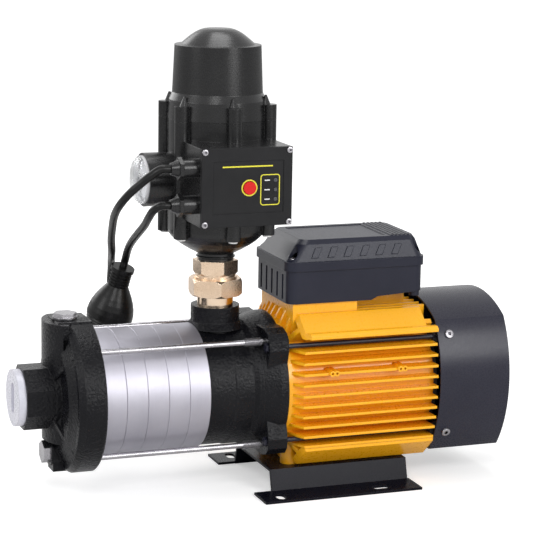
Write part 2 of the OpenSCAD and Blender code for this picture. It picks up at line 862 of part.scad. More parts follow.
module shaft_nut() color(bright) difference() {
    translate([stage_x - nut_len, 0, shaft_h]) rotate([0, 90, 0]) hexagon(pump_shaft_d * 1.6, nut_len);
    bar_x(stage_x - nut_len - cut, stage_x + cut, pump_shaft_d / 2);
}

module fan() color(plastic) difference() {
    union() {
        bar_x(fan_x, fan_x + fan_depth, fan_hub_r);
        bar_x(fan_x + fan_depth - fan_disc_t, fan_x + fan_depth, fan_r * 0.6);
        for (i = [1 : fan_blades]) translate([0, 0, shaft_h]) rotate([i * 360 / fan_blades, 0, 0])
            translate([0, 0, -shaft_h]) along_x_blade();
    }
    bar_x(fan_x - cut, fan_x + fan_depth + cut, fan_shaft_r);
}

module along_x_blade() {
    translate([0, blade_t / 2, shaft_h]) rotate([90, 0, 0]) linear_extrude(blade_t)
        polygon([[fan_x + fan_depth * 0.2, fan_hub_r * 0.8], [fan_x, fan_r * 0.8], [fan_x, fan_r],
                 [fan_x + fan_depth * 0.7, fan_r], [fan_x + fan_depth, fan_r * 0.6],
                 [fan_x + fan_depth, fan_hub_r * 0.8]]);
}

// Fan cover: two bowed sides, a bowed top, a flat bottom and slots in the end
module cover_solid(x0, x1, skin) {
    side_off = cover_side_r - cover_half_w;
    intersection() {
        translate([0, side_off, 0]) bar_x(x0, x1, cover_side_r - skin);
        translate([0, -side_off, 0]) bar_x(x0, x1, cover_side_r - skin);
        translate([0, 0, cover_top - cover_crown_r]) bar_x(x0, x1, cover_crown_r - skin);
        block([x0, x1], [-cover_half_w, cover_half_w], [skin - cover_bottom, cover_top]);
    }
}

module fan_cover() color(sheet_black) difference() {
    cover_solid(cover_x, cover_end, 0);
    cover_solid(cover_x - cut, cover_end - cover_t, cover_t);
    for (i = [1 : cover_slots]) translate([0, 0, shaft_h]) rotate([i * 360 / cover_slots, 0, 0])
        translate([0, 0, -shaft_h]) block([cover_end - 2 * cover_t, cover_end + cut],
            [-cover_slot_w / 2, cover_slot_w / 2], i % 2 == 0 ? [fan_r * 0.3, fan_r] : [fan_r * 0.55, fan_r]);
    cover_screw_places() cylinder(h = 2 * cover_screw_len, r = cover_screw_r + slide_gap, center = true);
}

module cover_screw_places() {
    for (side = [-1, 1], up = [-1, 1])
        translate([cover_screw_x, side * cover_side_y, shaft_h + up * cover_screw_h])
            rotate([-side * 90 + side * up * cover_tilt, 0, 0]) children();
}

module fan_cover_screws() color(bright) cover_screw_places() {
    cylinder(h = cover_head_h, r = cover_head_r);
    translate([0, 0, -cover_screw_len]) cylinder(h = cover_screw_len, r = cover_screw_r);
}

// Pump stages
module stage_ring(i) color(steel) {
    x1 = case_x - (stages - i) * stage_len;
    turned_x(x1) polygon([[ring_bore, 0], [stage_r - ring_chamfer, 0], [stage_r, ring_chamfer],
                          [stage_r, stage_len - ring_chamfer], [stage_r - ring_chamfer, stage_len],
                          [ring_bore, stage_len]]);
}

module stage_places() {
    for (i = [0 : stages - 1]) translate([stage_x + i * stage_len, 0, 0]) children();
}

module diffuser() {
    outer = ring_bore - slide_gap;
    tube_x(0, stage_len - stack_gap, outer, outer - band_t);
    tube_x(0, plate_t, outer - band_t / 2, eye_r);
    tube_x(guide_from, guide_from + plate_t, outer - band_t - passage, hub_r + slide_gap);
    for (k = [1 : diffuser_vanes]) translate([0, 0, shaft_h]) rotate([k * 360 / diffuser_vanes, 0, 0])
        translate([0, 0, -shaft_h]) translate([0, hub_r / 2, 0])
            block([guide_from + plate_t / 2, stage_len - stack_gap], [0, vane_t],
                  [hub_r + passage, outer - band_t / 2]);
}

module diffusers() color(plastic) stage_places() diffuser();

module impeller() {
    far = impeller_from + impeller_h;
    tube_x(0, stage_len - stack_gap, hub_r, pump_shaft_d / 2);
    tube_x(far - shroud_t, far, impeller_d / 2, hub_r - cut);
    tube_x(impeller_from, impeller_from + shroud_t, impeller_d / 2, eye_r - eye_wall);
    tube_x(0, impeller_from + shroud_t, eye_r - slide_gap, eye_r - eye_wall);
    for (k = [1 : impeller_vanes]) translate([0, 0, shaft_h]) rotate([k * 360 / impeller_vanes, 0, 0])
        translate([impeller_from + shroud_t / 2, 0, impeller_d / 4]) rotate([-35, 0, 0])
            cube([impeller_h - shroud_t, vane_t, impeller_d / 4 + vane_t]);
}

module impellers() color(steel) stage_places() impeller();

module tie_rods() color(bright) four_corners(rod_offset, rod_offset)
    bar_x(stage_x - lip_t - rod_grip, motor_x - cut, rod_d / 2);

module tie_rod_nuts() color(steel) four_corners(rod_offset, rod_offset) difference() {
    translate([motor_x - nut_pocket, 0, shaft_h]) rotate([0, 90, 0]) hexagon(rod_nut_flats, rod_nut_h);
    bar_x(motor_x - nut_pocket - cut, motor_x, rod_d / 2);
}

// Suction casing
module suction_casing() color(casting) difference() {
    union() {
        turned_x(stage_x) polygon([[0, 0], [lip_r, 0], [lip_r, lip_t], [flange_r - flange_edge, lip_t],
                                   [flange_r, lip_t + flange_edge], [flange_r, flange_t - flange_bevel],
                                   [flange_r - flange_bevel, flange_t + lip_t], [lip_r, flange_t + lip_t],
                                   [dish_r, flange_t + lip_t + dish_d],
                                   [dish_r - dish_in, flange_t + front_wall],
                                   [0, flange_t + front_wall]]);
        bar_x(inlet_x + boss_len - cut, stage_x - flange_t, inlet_flats / 2 + boss_rim);
        translate([inlet_x, 0, shaft_h]) rotate([0, 90, 0]) rotate(22.5)
            cylinder(h = boss_len, r = inlet_flats / 2 / cos(22.5), $fn = 8);
        intersection() {
            post(chamber_x + chamber_r, 0, drain_boss_r * 0.9 - drain_h, priming_top - boss_rim, chamber_r);
            block([chamber_x, stage_x - flange_t], [-chamber_half, chamber_half], [-drain_h, priming_top]);
        }
        block([chamber_x + chamber_r / 4, stage_x - lip_t], [-box_half, box_half],
              [dish_r, priming_top - boss_rim / 2]);
        post(priming_x, 0, cavity_r, priming_top, priming_pad_r);
        translate([0, 0, -drain_h]) bar_x(drain_x, stage_x - lip_t, drain_boss_r);
        block([drain_x + boss_rim, stage_x - lip_t], [-drain_boss_r * 0.7, drain_boss_r * 0.7],
              [boss_rim - flange_r, -drain_h]);
        for (turn = [0, 90, 180, 270]) translate([0, 0, shaft_h]) rotate([turn + 45, 0, 0])
            translate([0, gusset_t / 2, 0]) rotate([90, 0, 0]) linear_extrude(gusset_t)
                polygon([[chamber_x + gusset_t, inlet_flats / 2],
                         [stage_x - flange_t - lip_t, flange_r - gusset_in],
                         [stage_x - flange_t, flange_r - gusset_in],
                         [stage_x - flange_t, inlet_flats / 2 - boss_rim]]);
    }
    bar_x(stage_x - flange_t, stage_x + cut, cavity_r);
    bar_x(inlet_x + mouth_depth, stage_x - flange_t + cut, inlet_thread_r);
    bar_x(inlet_x + mouth_depth + inlet_thread_len, stage_x - flange_t + cut, mouth_r);
    bar_x(inlet_x - cut, inlet_x + mouth_depth, mouth_r);
    post(priming_x, 0, 0, priming_top + cut, priming_thread_r + thread_gap);
    post(priming_x, 0, priming_top, priming_top + plug_head, priming_pad_r);
    for (side = [-1, 1]) translate([0, side * (chamber_half - pocket_d / 2 + cut), 0])
        block([chamber_x + chamber_r / 3, stage_x - flange_t - lip_t],
              [-pocket_d / 2 - cut, pocket_d / 2 + cut], [inlet_flats / 2, dish_r]);
    translate([0, 0, -drain_h])
        bar_x(drain_x - cut, stage_x - lip_t - drain_wall, drain_thread_r + thread_gap);
    four_corners(rod_offset, rod_offset) bar_x(stage_x - lip_t - rod_grip, stage_x, rod_d / 2 + thread_gap);
}

module inlet_cap() color(white) difference() {
    union() {
        bar_x(inlet_x - cap_t, inlet_x - seat_gap, cap_r);
        bar_x(inlet_x - cap_t / 2, inlet_x + mouth_depth - cut, mouth_r - slide_gap);
    }
    for (side = [-1, 1]) translate([0, 0, side * cap_r / 3])
        bar_x(inlet_x - cap_t - cut, inlet_x - cap_t / 2, cap_r / 5);
    block([inlet_x - cap_t - cut, inlet_x - cap_t / 2], [-cap_r / 5, cap_r / 5], [-cap_r / 3, cap_r / 3]);
    bar_x(inlet_x, inlet_x + mouth_depth, mouth_r - slide_gap - box_wall);
}

module priming_plug() color(bright) {
    post(priming_x, 0, cavity_r, priming_top, priming_thread_r);
    post(priming_x, 0, priming_top, priming_top + plug_washer_t, priming_flats * 0.6);
    translate([priming_x, 0, shaft_h + priming_top + plug_washer_t / 2])
        hexagon(priming_flats, plug_head - 2 * plug_washer_t);
}

module drain_plug() color(bright) translate([0, 0, -drain_h]) {
    bar_x(drain_x, drain_x + plug_thread_len, drain_thread_r);
    translate([drain_x - plug_head, 0, shaft_h]) rotate([0, 90, 0]) hexagon(drain_flats, plug_head);
}

// Discharge casing
module discharge_casing() color(casting) difference() {
    union() {
        turned_x(bracket_x) polygon([
            [0, 0], [flare_r, 0], [flare_r - case_edge, flare_len / 2], [case_r, flare_len],
            [case_r, case_len / 2], [case_r - case_step, case_len / 2 + case_edge],
            [case_r - case_step, case_len - case_edge], [case_r - case_step - case_edge, case_len],
            [0, case_len]]);
        post(outlet_x, 0, case_r / 2, outlet_top, outlet_r);
        translate([outlet_x, 0, shaft_h + case_r - fillet_r / 2])
            cylinder(h = fillet_r * 1.2, r1 = outlet_r + fillet_r, r2 = outlet_r, $fn = 48);
    }
    bar_x(case_x - outlet_r, case_x, 2 * case_r);
    bar_x(case_x - cut, bracket_x - rear_wall, cavity_r);
    bar_x(bracket_x - rear_wall - cut, bracket_x - rear_wall + seal_seat_t, seal_seat_r);
    bar_x(case_x, bracket_x + cut, seal_shaft_r + hole_gap);
    post(outlet_x, 0, outlet_top - outlet_thread_len, outlet_top + cut, outlet_thread_r);
    post(outlet_x, 0, 0, outlet_top, union_bore);
}

module seal_seat() color(white)
    tube_x(bracket_x - rear_wall, bracket_x - rear_wall + seal_seat_t, seal_seat_r, seal_shaft_r + hole_gap);

module seal_head() color(steel) {
    x1 = bracket_x - rear_wall - seat_gap;
    tube_x(x1 - seal_head_len, x1 - seal_face_t, seal_head_r, seal_shaft_r);
    tube_x(x1 - seal_face_t, x1, seal_head_r - seal_face_t / 2, seal_shaft_r);
}

// Terminal box
module terminal_box() color(box_blue) difference() {
    union() {
        difference() {
            round_plate([box_x, box_end], box_w / 2, [box_floor, lid_seam], box_corner_r);
            round_plate([box_x + box_wall, box_end - box_wall], box_w / 2 - box_wall,
                        [box_floor + box_wall, lid_seam + cut], box_corner_r - box_wall);
            box_step(cut, 0);
        }
        intersection() {
            round_plate([box_x, box_end], box_w / 2, [box_floor, lid_seam], box_corner_r);
            difference() {
                box_step(0, box_wall);
                box_step(cut, 0);
            }
        }
        lid_screw_places() translate([0, 0, box_floor + cut])
            cylinder(h = lid_seam - box_floor - cut, r = lid_post_r);
    }
    lid_screw_places() translate([0, 0, lid_seam - lid_flange])
        cylinder(h = 2 * lid_flange, r = lid_screw_r + thread_gap);
    for (i = [0 : box_slots - 1]) translate([0, (i - (box_slots - 1) / 2) * box_w * 0.16, 0])
        block([box_x - cut, box_x + box_wall * 0.6], [-box_slot_w / 2, box_slot_w / 2],
              [box_floor + box_wall, lid_seam - 2 * box_wall]);
    bar_y(box_gland_x, box_w / 2 - box_wall - cut, box_w / 2 + cut, box_gland_h, gland_r * 0.8 + thread_gap);
}

// The floor's rise towards the fan cover, its lower points moved down and its upper ones up
module box_step(down, up) translate([0, box_w, shaft_h]) rotate([90, 0, 0]) linear_extrude(2 * box_w)
    polygon([[step_x, box_floor - down], [step_x, box_floor + up],
             [step_x + step_rise, box_floor + step_rise / 2 + up],
             [box_end + cut, box_floor + step_rise + up], [box_end + cut, box_floor - down]]);

module lid_form(skin) {
    module layer(left, right, inset_y, h) {
        r = box_corner_r - min(skin, box_wall);
        for (px = [box_x + left + r, box_end - right - r], side = [-1, 1])
            translate([px, side * (box_w / 2 - inset_y - r), shaft_h + h]) cylinder(h = cut, r = r, $fn = 32);
    }
    top = lid_top - cut - skin;
    hull() {
        layer(skin, skin, skin, lid_seam + lid_flange - cut - skin);
        layer(lid_left_in - lid_crown_d + skin, lid_right_in + skin, lid_slope_in - lid_crown_d / 2 + skin,
              top - lid_crown_d);
        layer(lid_left_in + skin, lid_right_in + lid_crown_d / 2 + skin,
              lid_slope_in + lid_crown_d / 2 + skin, top);
    }
}

// Raised bars on the lid's long slopes and ridges over its right end
module lid_relief() {
    slope_in = lid_slope_in - lid_crown_d / 2;
    slope_low = lid_seam + lid_flange;
    slope_high = lid_top - lid_crown_d;
    lean = atan2(slope_in, slope_high - slope_low);
    for (side = [-1, 1], i = [0 : emboss_count - 1])
        translate([(box_x + box_end) / 2 + (i - (emboss_count - 1) / 2) * emboss_pitch,
                   side * (box_w / 2 - slope_in / 2), shaft_h + (slope_low + slope_high) / 2])
            rotate([quarter + side * lean, 0, 0]) linear_extrude(2 * emboss_t, center = true)
                polygon([
                    [-emboss_w / 2 - emboss_skew, -emboss_h / 2], [emboss_w / 2 - emboss_skew, -emboss_h / 2],
                    [emboss_w / 2 + emboss_skew, emboss_h / 2], [emboss_skew - emboss_w / 2, emboss_h / 2]]);
    for (i = [0 : ridge_count - 1])
        block([box_end - lid_right_in - box_corner_r - i * ridge_pitch,
               box_end - lid_right_in - box_corner_r - i * ridge_pitch + ridge_pitch / 2],
              [lid_slope_in + lid_crown_d - box_w / 2, box_w / 2 - lid_slope_in - lid_crown_d],
              [lid_top - lid_crown_d, lid_top + emboss_t]);
}

module terminal_box_lid() color(box_blue) difference() {
    union() {
        difference() {
            union() {
                lid_form(0);
                lid_relief();
                round_plate([box_x - lid_rim, box_end + lid_rim], box_w / 2 + lid_rim,
                            [lid_seam, lid_seam + lid_flange], box_corner_r + lid_rim);
            }
            lid_form(box_wall);
            block([box_x + lid_left_in + box_corner_r,
                   box_end - lid_right_in - box_corner_r - ridge_count * ridge_pitch],
                  [lid_slope_in + 2 * lid_crown_d - box_w / 2, box_w / 2 - lid_slope_in - 2 * lid_crown_d],
                  [lid_top - recess_d, lid_top + cut]);
            round_plate([box_x + box_wall, box_end - box_wall], box_w / 2 - box_wall,
                        [lid_seam - cut, lid_seam + lid_flange - box_wall], box_corner_r - box_wall);
        }
        lid_screw_places() translate([0, 0, lid_seam]) cylinder(h = lid_flange, r = lid_post_r);
    }
    lid_screw_places() translate([0, 0, lid_seam - cut])
        cylinder(h = 3 * lid_flange, r = lid_screw_r + thread_gap);
    lid_screw_places() translate([0, 0, lid_seam + lid_flange - lid_pocket])
        cylinder(h = 3 * lid_flange, r = lid_head_r + slide_gap);
}

module lid_screw_places() {
    for (px = [box_x + lid_screw_in, box_end - lid_screw_in], side = [-1, 1])
        translate([px, side * (box_w / 2 - lid_screw_in), shaft_h]) children();
}

module lid_screws() color(bright) lid_screw_places() {
    translate([0, 0, lid_seam - lid_flange]) cylinder(h = 2 * lid_flange - lid_pocket, r = lid_screw_r);
    translate([0, 0, lid_seam + lid_flange - lid_pocket]) cylinder(h = 2 * lid_pocket, r = lid_head_r);
}

module capacitor() color(white)
    translate([capacitor_x, box_w / 5, shaft_h + box_floor + box_wall + capacitor_d / 2]) rotate([0, 90, 0])
        cylinder(h = step_x - cut - capacitor_x, d = capacitor_d);

module terminal_block() color(white) difference() {
    block([block_x, block_x + terminals * terminal_pitch], [-box_w / 3, block_d - box_w / 3],
          [box_floor + box_wall, box_floor + block_h]);
    for (i = [0 : terminals - 1]) post(block_x + (i + 0.5) * terminal_pitch, block_d / 2 - box_w / 3,
        box_floor + block_h / 2, box_floor + block_h + cut, terminal_pitch / 4);
}

// A cable gland whose reach runs along local z
module gland(reach) {
    cylinder(h = reach * 0.57, r = gland_r);
    translate([0, 0, reach * 0.57]) hexagon(gland_nut_flats + gland_lip, gland_nut_h);
    translate([0, 0, reach * 0.57 + gland_nut_h])
        cylinder(h = reach * 0.43 - gland_nut_h, r1 = gland_r - gland_lip / 2,
                 r2 = cord_d / 2 + gland_lip * 0.8, $fn = 32);
}

module terminal_gland() color(plastic) {
    translate([box_gland_x, box_w / 2, shaft_h + box_gland_h])
        rotate([-90, 0, 0]) gland(box_gland_reach + gland_lip);
    bar_y(box_gland_x, box_w / 2 - box_wall - gland_lip, box_w / 2, box_gland_h, gland_r * 0.8);
}

// Outlet union
module union_tail() color(brass) translate([outlet_x, 0, shaft_h]) difference() {
    union() {
        translate([0, 0, outlet_top - outlet_thread_len])
            cylinder(h = outlet_thread_len + cut, r = outlet_thread_r - thread_gap);
        translate([0, 0, outlet_top]) cylinder(h = union_base + nut_lip - outlet_top, r = tail_r);
        translate([0, 0, union_base + nut_lip]) cylinder(h = tail_collar_t, r = tail_collar_r - thread_gap);
    }
    translate([0, 0, outlet_top - outlet_thread_len - cut])
        cylinder(h = 2 * nut_h + outlet_thread_len, r = union_bore);
}

module union_nut() color(brass) translate([outlet_x, 0, shaft_h + union_base]) difference() {
    intersection() {
        rotate(nut_turn) hexagon(nut_flats, nut_h);
        cylinder(h = nut_h, r1 = nut_flats / 2 + chamfer, r2 = nut_flats / 2 + chamfer + nut_h, $fn = 48);
        cylinder(h = nut_h, r1 = nut_flats / 2 + chamfer + nut_h, r2 = nut_flats / 2 + chamfer, $fn = 48);
    }
    translate([0, 0, -cut]) cylinder(h = nut_h, r = tail_r + thread_gap);
    translate([0, 0, nut_lip]) cylinder(h = nut_h, r = tail_collar_r);
}

module union_socket() color(brass) translate([outlet_x, 0, shaft_h]) difference() {
    union() {
        translate([0, 0, union_base + nut_lip + tail_collar_t])
            cylinder(h = nut_h - nut_lip - tail_collar_t, r = tail_collar_r - thread_gap);
        translate([0, 0, union_base + nut_h])
            cylinder(h = socket_base - union_base - nut_h, r = socket_neck_r);
        translate([0, 0, union_base + nut_h - cut]) cylinder(h = ring_t + cut, r = socket_neck_r + ring_t);
        translate([0, 0, socket_base]) intersection() {
            rotate(socket_turn) hexagon(socket_flats, socket_h);
            cylinder(h = socket_h, r1 = socket_flats / 2 + chamfer,
                     r2 = socket_flats / 2 + chamfer + socket_h, $fn = 48);
        }
    }
    translate([0, 0, union_base]) cylinder(h = 2 * nut_h, r = union_bore);
    translate([0, 0, spigot_low]) cylinder(h = 2 * socket_h, r = outlet_thread_r + thread_gap);
}

// Pressure control
module body_turned() {
    translate([outlet_x, 0, shaft_h]) rotate_extrude() polygon(concat([
        [0, spigot_low], [outlet_thread_r, spigot_low], [outlet_thread_r, socket_top], [spigot_r, socket_top],
        [spigot_r, ring_low], [spigot_r + ring_t, ring_low + ring_t / 2],
        [spigot_r + ring_t, ring_low + ring_t], [spigot_r, ring_low + 1.5 * ring_t],
        [spigot_r, bowl_low]], bowl_points, [[body_r, seam_h], [0, seam_h]]));
}

module controller_body() color(plastic) difference() {
    union() {
        difference() {
            union() {
                body_turned();
                six_pillars() translate([0, 0, $pillar_low]) cylinder(h = seam_h - $pillar_low, r = pillar_r);
                block([panel_x0, panel_x1], [cover_plate_t - panel_y, -panel_back_y],
                      [panel_low, panel_high]);
                translate([0, 0, gauge_h]) bar_x(gauge_x, outlet_x - body_r / 2, shroud_r);
                bar_y(outlet_x, body_r / 2, side_outlet_reach, gauge_h, side_outlet_r);
                bar_y(outlet_x, body_r / 2, body_r + body_wall, gauge_h, side_outlet_r + collar_w);
            }
            post(outlet_x, 0, spigot_low - cut, valve_seat_h, valve_bore);
            post(outlet_x, 0, valve_seat_h, bowl_high + body_wall, valve_r + body_wall);
            post(outlet_x, 0, bowl_high + body_wall, seam_h - rim_d, body_r - 3 * body_wall);
            post(outlet_x, 0, seam_h - rim_d, seam_h + cut, body_r - body_wall);
            bar_y(outlet_x, 0, side_outlet_reach + cut, gauge_h, side_bore);
        }
        for (turn = [0, 120, 240]) translate([outlet_x, 0, shaft_h + guide_low]) rotate(turn + 30)
            translate([0, -guide_t / 2, 0]) cube([valve_bore + guide_t / 2, guide_t, guide_h]);
        post(outlet_x, 0, guide_low, guide_low + guide_h, guide_r);
    }
    post(outlet_x, 0, guide_low - cut, guide_low + guide_h + cut, stem_r + running_gap);
    block([panel_x0 + panel_wall, panel_x1 - panel_wall], [-panel_y, -panel_floor_y],
          [panel_low + panel_wall + panel_corner, panel_high - panel_wall - panel_corner]);
    block([panel_x0 + panel_wall + panel_corner, panel_x1 - panel_wall - panel_corner],
          [-panel_y, -panel_floor_y],
          [panel_low + panel_wall, panel_high - panel_wall]);
    translate([0, 0, gauge_h]) bar_x(gauge_x - cut, gauge_x + gauge_len, gauge_case_r + thread_gap);
    translate([0, 0, gauge_h]) bar_x(gauge_x, outlet_x - body_r / 2, gauge_stub_r);
    six_pillars() translate([0, 0, $pillar_low - cut]) cylinder(h = seam_h, r = control_screw_r + thread_gap);
    six_pillars() translate([0, 0, $pillar_low - control_head_h - cut])
        cylinder(h = control_head_h + cut, r = control_head_r + slide_gap);
    panel_screw_places() cylinder(h = panel_screw_len + 2 * cut, r = panel_screw_r + thread_gap);
    for (h = gland_heights) translate([panel_x0 - cut, -gland_y, shaft_h + h]) rotate([0, 90, 0])
        cylinder(h = panel_wall + 2 * cut, r = gland_r * 0.7 + thread_gap);
}

module controller_cap() color(plastic) difference() {
    union() {
        translate([outlet_x, 0, shaft_h]) rotate_extrude() polygon(concat(
            [[0, seam_h], [body_r + chamfer / 2, seam_h], [body_r - chamfer, skirt_h],
             [body_r - body_wall, neck_h],
             [body_r - 1.5 * body_wall, cap_shoulder_h]],
            dome_points,
            [[0, dome_top]]));
        six_pillars() translate([0, 0, seam_h]) cylinder(h = pillar_high - seam_h, r = pillar_r);
        six_pillars() translate([-pillar_r / 2, 0, pillar_high - cut])
            cylinder(h = arch_h, r1 = arch_r, r2 = cut);
    }
    translate([outlet_x, 0, shaft_h]) rotate_extrude() polygon([
        [0, seam_h - cut], [body_r - body_wall - chamfer, seam_h - cut],
        [body_r - body_wall - 2 * chamfer, skirt_h],
        [body_r - 2.75 * body_wall, cap_shoulder_h - body_wall],
        [body_r / 2, dome_top - 2.5 * body_wall], [0, dome_top - 1.5 * body_wall]]);
    six_pillars() translate([0, 0, seam_h - cut])
        cylinder(h = screw_grip + 2 * cut, r = control_screw_r + thread_gap);
}

module cap_screws() color(bright) six_pillars() {
    translate([0, 0, $pillar_low]) cylinder(h = seam_h - $pillar_low + screw_grip, r = control_screw_r);
    translate([0, 0, $pillar_low - control_head_h]) cylinder(h = control_head_h, r = control_head_r);
}

// Places of the control cover's screws, local z running into the box
module panel_screw_places() {
    for (px = [panel_x0 + panel_screw_in, panel_x1 - panel_screw_in],
         h = [panel_low + panel_screw_in, panel_high - panel_screw_in])
        translate([px, cover_plate_t - panel_y, shaft_h + h]) rotate([-90, 0, 0]) children();
}

module control_cover() color(plastic) difference() {
    block([panel_x0, panel_x1], [-panel_y, cover_plate_t - panel_y], [panel_low, panel_high]);
    block([panel_x0 + panel_w * 0.125, panel_x1 - panel_w * 0.095], [-panel_y - cut, recess_d - panel_y],
          [panel_low + recess_in, panel_high - recess_in]);
    bar_y(button_x, -panel_y - cut, -panel_y + 2 * cover_plate_t, button_h, button_r + slide_gap);
    for (k = [-1, 0, 1])
        bar_y(lamp_x, -panel_y - cut, -panel_y + 2 * cover_plate_t, lamp_h + k * lamp_pitch,
              lamp_r + thread_gap);
    panel_screw_places() cylinder(h = 3 * cover_plate_t, r = panel_screw_r + thread_gap, center = true);
}

module cover_screws() color(bright) panel_screw_places() {
    translate([0, 0, -cover_plate_t]) cylinder(h = panel_screw_len + cover_plate_t, r = panel_screw_r);
    translate([0, 0, -cover_plate_t - panel_head_t]) cylinder(h = panel_head_t, r = panel_head_r);
}

module circuit_board() color([0.10, 0.35, 0.18]) {
    difference() {
        block([panel_x0 + board_in, panel_x1 - board_in], [-board_y - board_t, -board_y],
              [panel_low + board_in, panel_high - board_in]);
        for (k = [-1, 0, 1]) bar_y(lamp_x, -panel_y, -panel_floor_y, lamp_h + k * lamp_pitch, 0.6);
    }
    for (px = [panel_x0 + 15, panel_x1 - 15], h = [panel_low + 14, panel_high - 14])
        bar_y(px, -board_y, -panel_floor_y, h, 2.5);
    block([button_x - switch_h, button_x + switch_h], [-board_y - board_t - switch_h, -board_y - board_t],
          [button_h - switch_h, button_h + switch_h]);
    block([outlet_x - 20, outlet_x], [-board_y, -board_y + 14], [button_h - 20, button_h - 4]);
}

module reset_button() color(red) {
    back = cover_plate_t - panel_y;
    bar_y(button_x, -panel_y - 1.2, back + 1.2, button_h, button_r);
    bar_y(button_x, back + seat_gap, back + 1.2, button_h, button_r + 1.4);
    bar_y(button_x, back + cut, button_tip, button_h, 2);
}

module indicator_lamps() color(white) for (k = [-1, 0, 1]) {
    bar_y(lamp_x, -panel_y + recess_d - 0.6, -board_y - board_t, lamp_h + k * lamp_pitch, lamp_r);
}

// Pressure gauge
module gauge_case() color(white) translate([0, 0, gauge_h]) difference() {
    union() {
        difference() {
            bar_x(gauge_x - case_out, gauge_x + gauge_len, gauge_case_r);
            bar_x(gauge_x - case_out - cut, gauge_x + dial_in, gauge_case_r - lens_t);
        }
        bar_x(gauge_x + gauge_len - cut, gauge_x + gauge_len + stub_len, gauge_stub_r - thread_gap);
    }
    bar_x(gauge_x, gauge_x + dial_in + stub_len, needle_pin_r + running_gap);
}

module gauge_needle() color(plastic) translate([0, 0, gauge_h]) {
    bar_x(gauge_x + dial_in - needle_hub, gauge_x + dial_in + stub_len - thread_gap, needle_pin_r);
    bar_x(gauge_x + dial_in - needle_hub, gauge_x + dial_in - needle_t, needle_hub);
    translate([0, 0, shaft_h]) rotate([needle_rest, 0, 0])
        translate([gauge_x + dial_in - 2 * needle_t, -needle_t * 0.75, -2.5 * needle_hub])
        cube([needle_t, 1.5 * needle_t, gauge_case_r - gauge_stub_r]);
}

module gauge_lens() color([0.85, 0.9, 0.95, 0.4]) translate([gauge_x - case_out, 0, shaft_h + gauge_h])
    rotate([0, -quarter, 0]) rotate_extrude() polygon(concat(
        [for (i = [0 : lens_steps]) let (t = quarter * i / lens_steps)
            [(gauge_case_r - slide_gap) * cos(t), lens_rise * sin(t)]],
        [for (i = [lens_steps : -1 : 0]) let (t = quarter * i / lens_steps)
            [(gauge_case_r - lens_t - slide_gap) * cos(t), (lens_rise - lens_t) * sin(t)]]));

module cable_glands() color(plastic) for (h = gland_heights) {
    translate([panel_x0, -gland_y, shaft_h + h]) rotate([0, -90, 0]) gland(gland_reach);
    translate([panel_x0, -gland_y, shaft_h + h]) rotate([0, 90, 0])
        cylinder(h = panel_wall + gland_lip, r = gland_r * 0.7);
}

module flow_valve() color(white) {
    low = valve_seat_h + seat_gap;
    post(outlet_x, 0, low, low + valve_t, valve_r);
    post(outlet_x, 0, guide_low - guide_t, low + cut, stem_r);
    post(outlet_x, 0, low + valve_t - cut, low + valve_t + 10 * cut, stem_r * 2);
}

module diaphragm() color([0.2, 0.2, 0.2]) {
    post(outlet_x, 0, seam_h - rim_d, seam_h - rim_d * 0.6, body_r - body_wall - thread_gap);
    post(outlet_x, 0, seam_h - rim_d * 0.6, seam_h, body_r - body_wall - thread_gap);
}

// Cords
function unit(v) = v / norm(v);
function tangent(p, i) = unit(p[min(i + 1, len(p) - 1)] - p[max(i - 1, 0)]);
function rims(p, i = 0, last = [0, 0, 1]) = i == len(p) ? [] :
    let (t = tangent(p, i), n = unit(last - t * (last * t)))
    concat([[n, cross(t, n)]], rims(p, i + 1, n));

module cord(route) {
    frames = rims(route);
    n = cord_sides;
    count = len(route);
    points = [for (i = [0 : count - 1], k = [0 : n - 1])
        route[i] + cord_d / 2 * (cos(360 * k / n) * frames[i][0] + sin(360 * k / n) * frames[i][1])];
    sides = [for (i = [0 : count - 2], k = [0 : n - 1], half = [0, 1])
        let (a = i * n + k, b = i * n + (k + 1) % n) half == 0 ? [a, a + n, b] : [b, a + n, b + n]];
    ends = [[for (k = [0 : n - 1]) k], [for (k = [n - 1 : -1 : 0]) (count - 1) * n + k]];
    polyhedron(points = points, faces = concat(sides, ends), convexity = 8);
}

module motor_cord() color(plastic) cord(motor_route);

module mains_cord() color(plastic) cord(mains_route);

// Stands local z along the plug, away from its cord
module on_plug() {
    turn = atan2(plug_dir[1], plug_dir[0]);
    lean = atan2(norm([plug_dir[0], plug_dir[1]]), plug_dir[2]);
    translate(plug_top) rotate([0, 0, turn]) rotate([0, lean, 0]) children();
}

module plug_body() color(plastic) on_plug() {
    cylinder(h = plug_collar_t, r = plug_collar_r);
    cylinder(h = plug_collar_t + plug_neck_len, r = plug_neck_r);
    for (i = [1 : plug_ribs]) translate([0, 0, plug_collar_t + i * plug_neck_len / (plug_ribs + 1)])
        cylinder(h = plug_neck_len / plug_ribs / 3, r = plug_rib_r);
    translate([0, 0, plug_collar_t + plug_neck_len]) rotate_extrude() polygon(concat(
        [[0, 0]], bell_points, rim_points,
        [[0, plug_bell_len + plug_rim_len]]));
}

module plug_pins() color(bright) on_plug() for (turn = [blade_turn, -blade_turn, 90])
    rotate(turn == 90 ? 90 : turn > 0 ? 180 : 0) translate([turn == 90 ? -blade_r : blade_r, 0, plug_len])
        rotate(turn == 90 ? 0 : 90 + blade_turn) translate(-[blade[0], blade[1], 0] / 2) cube(blade);

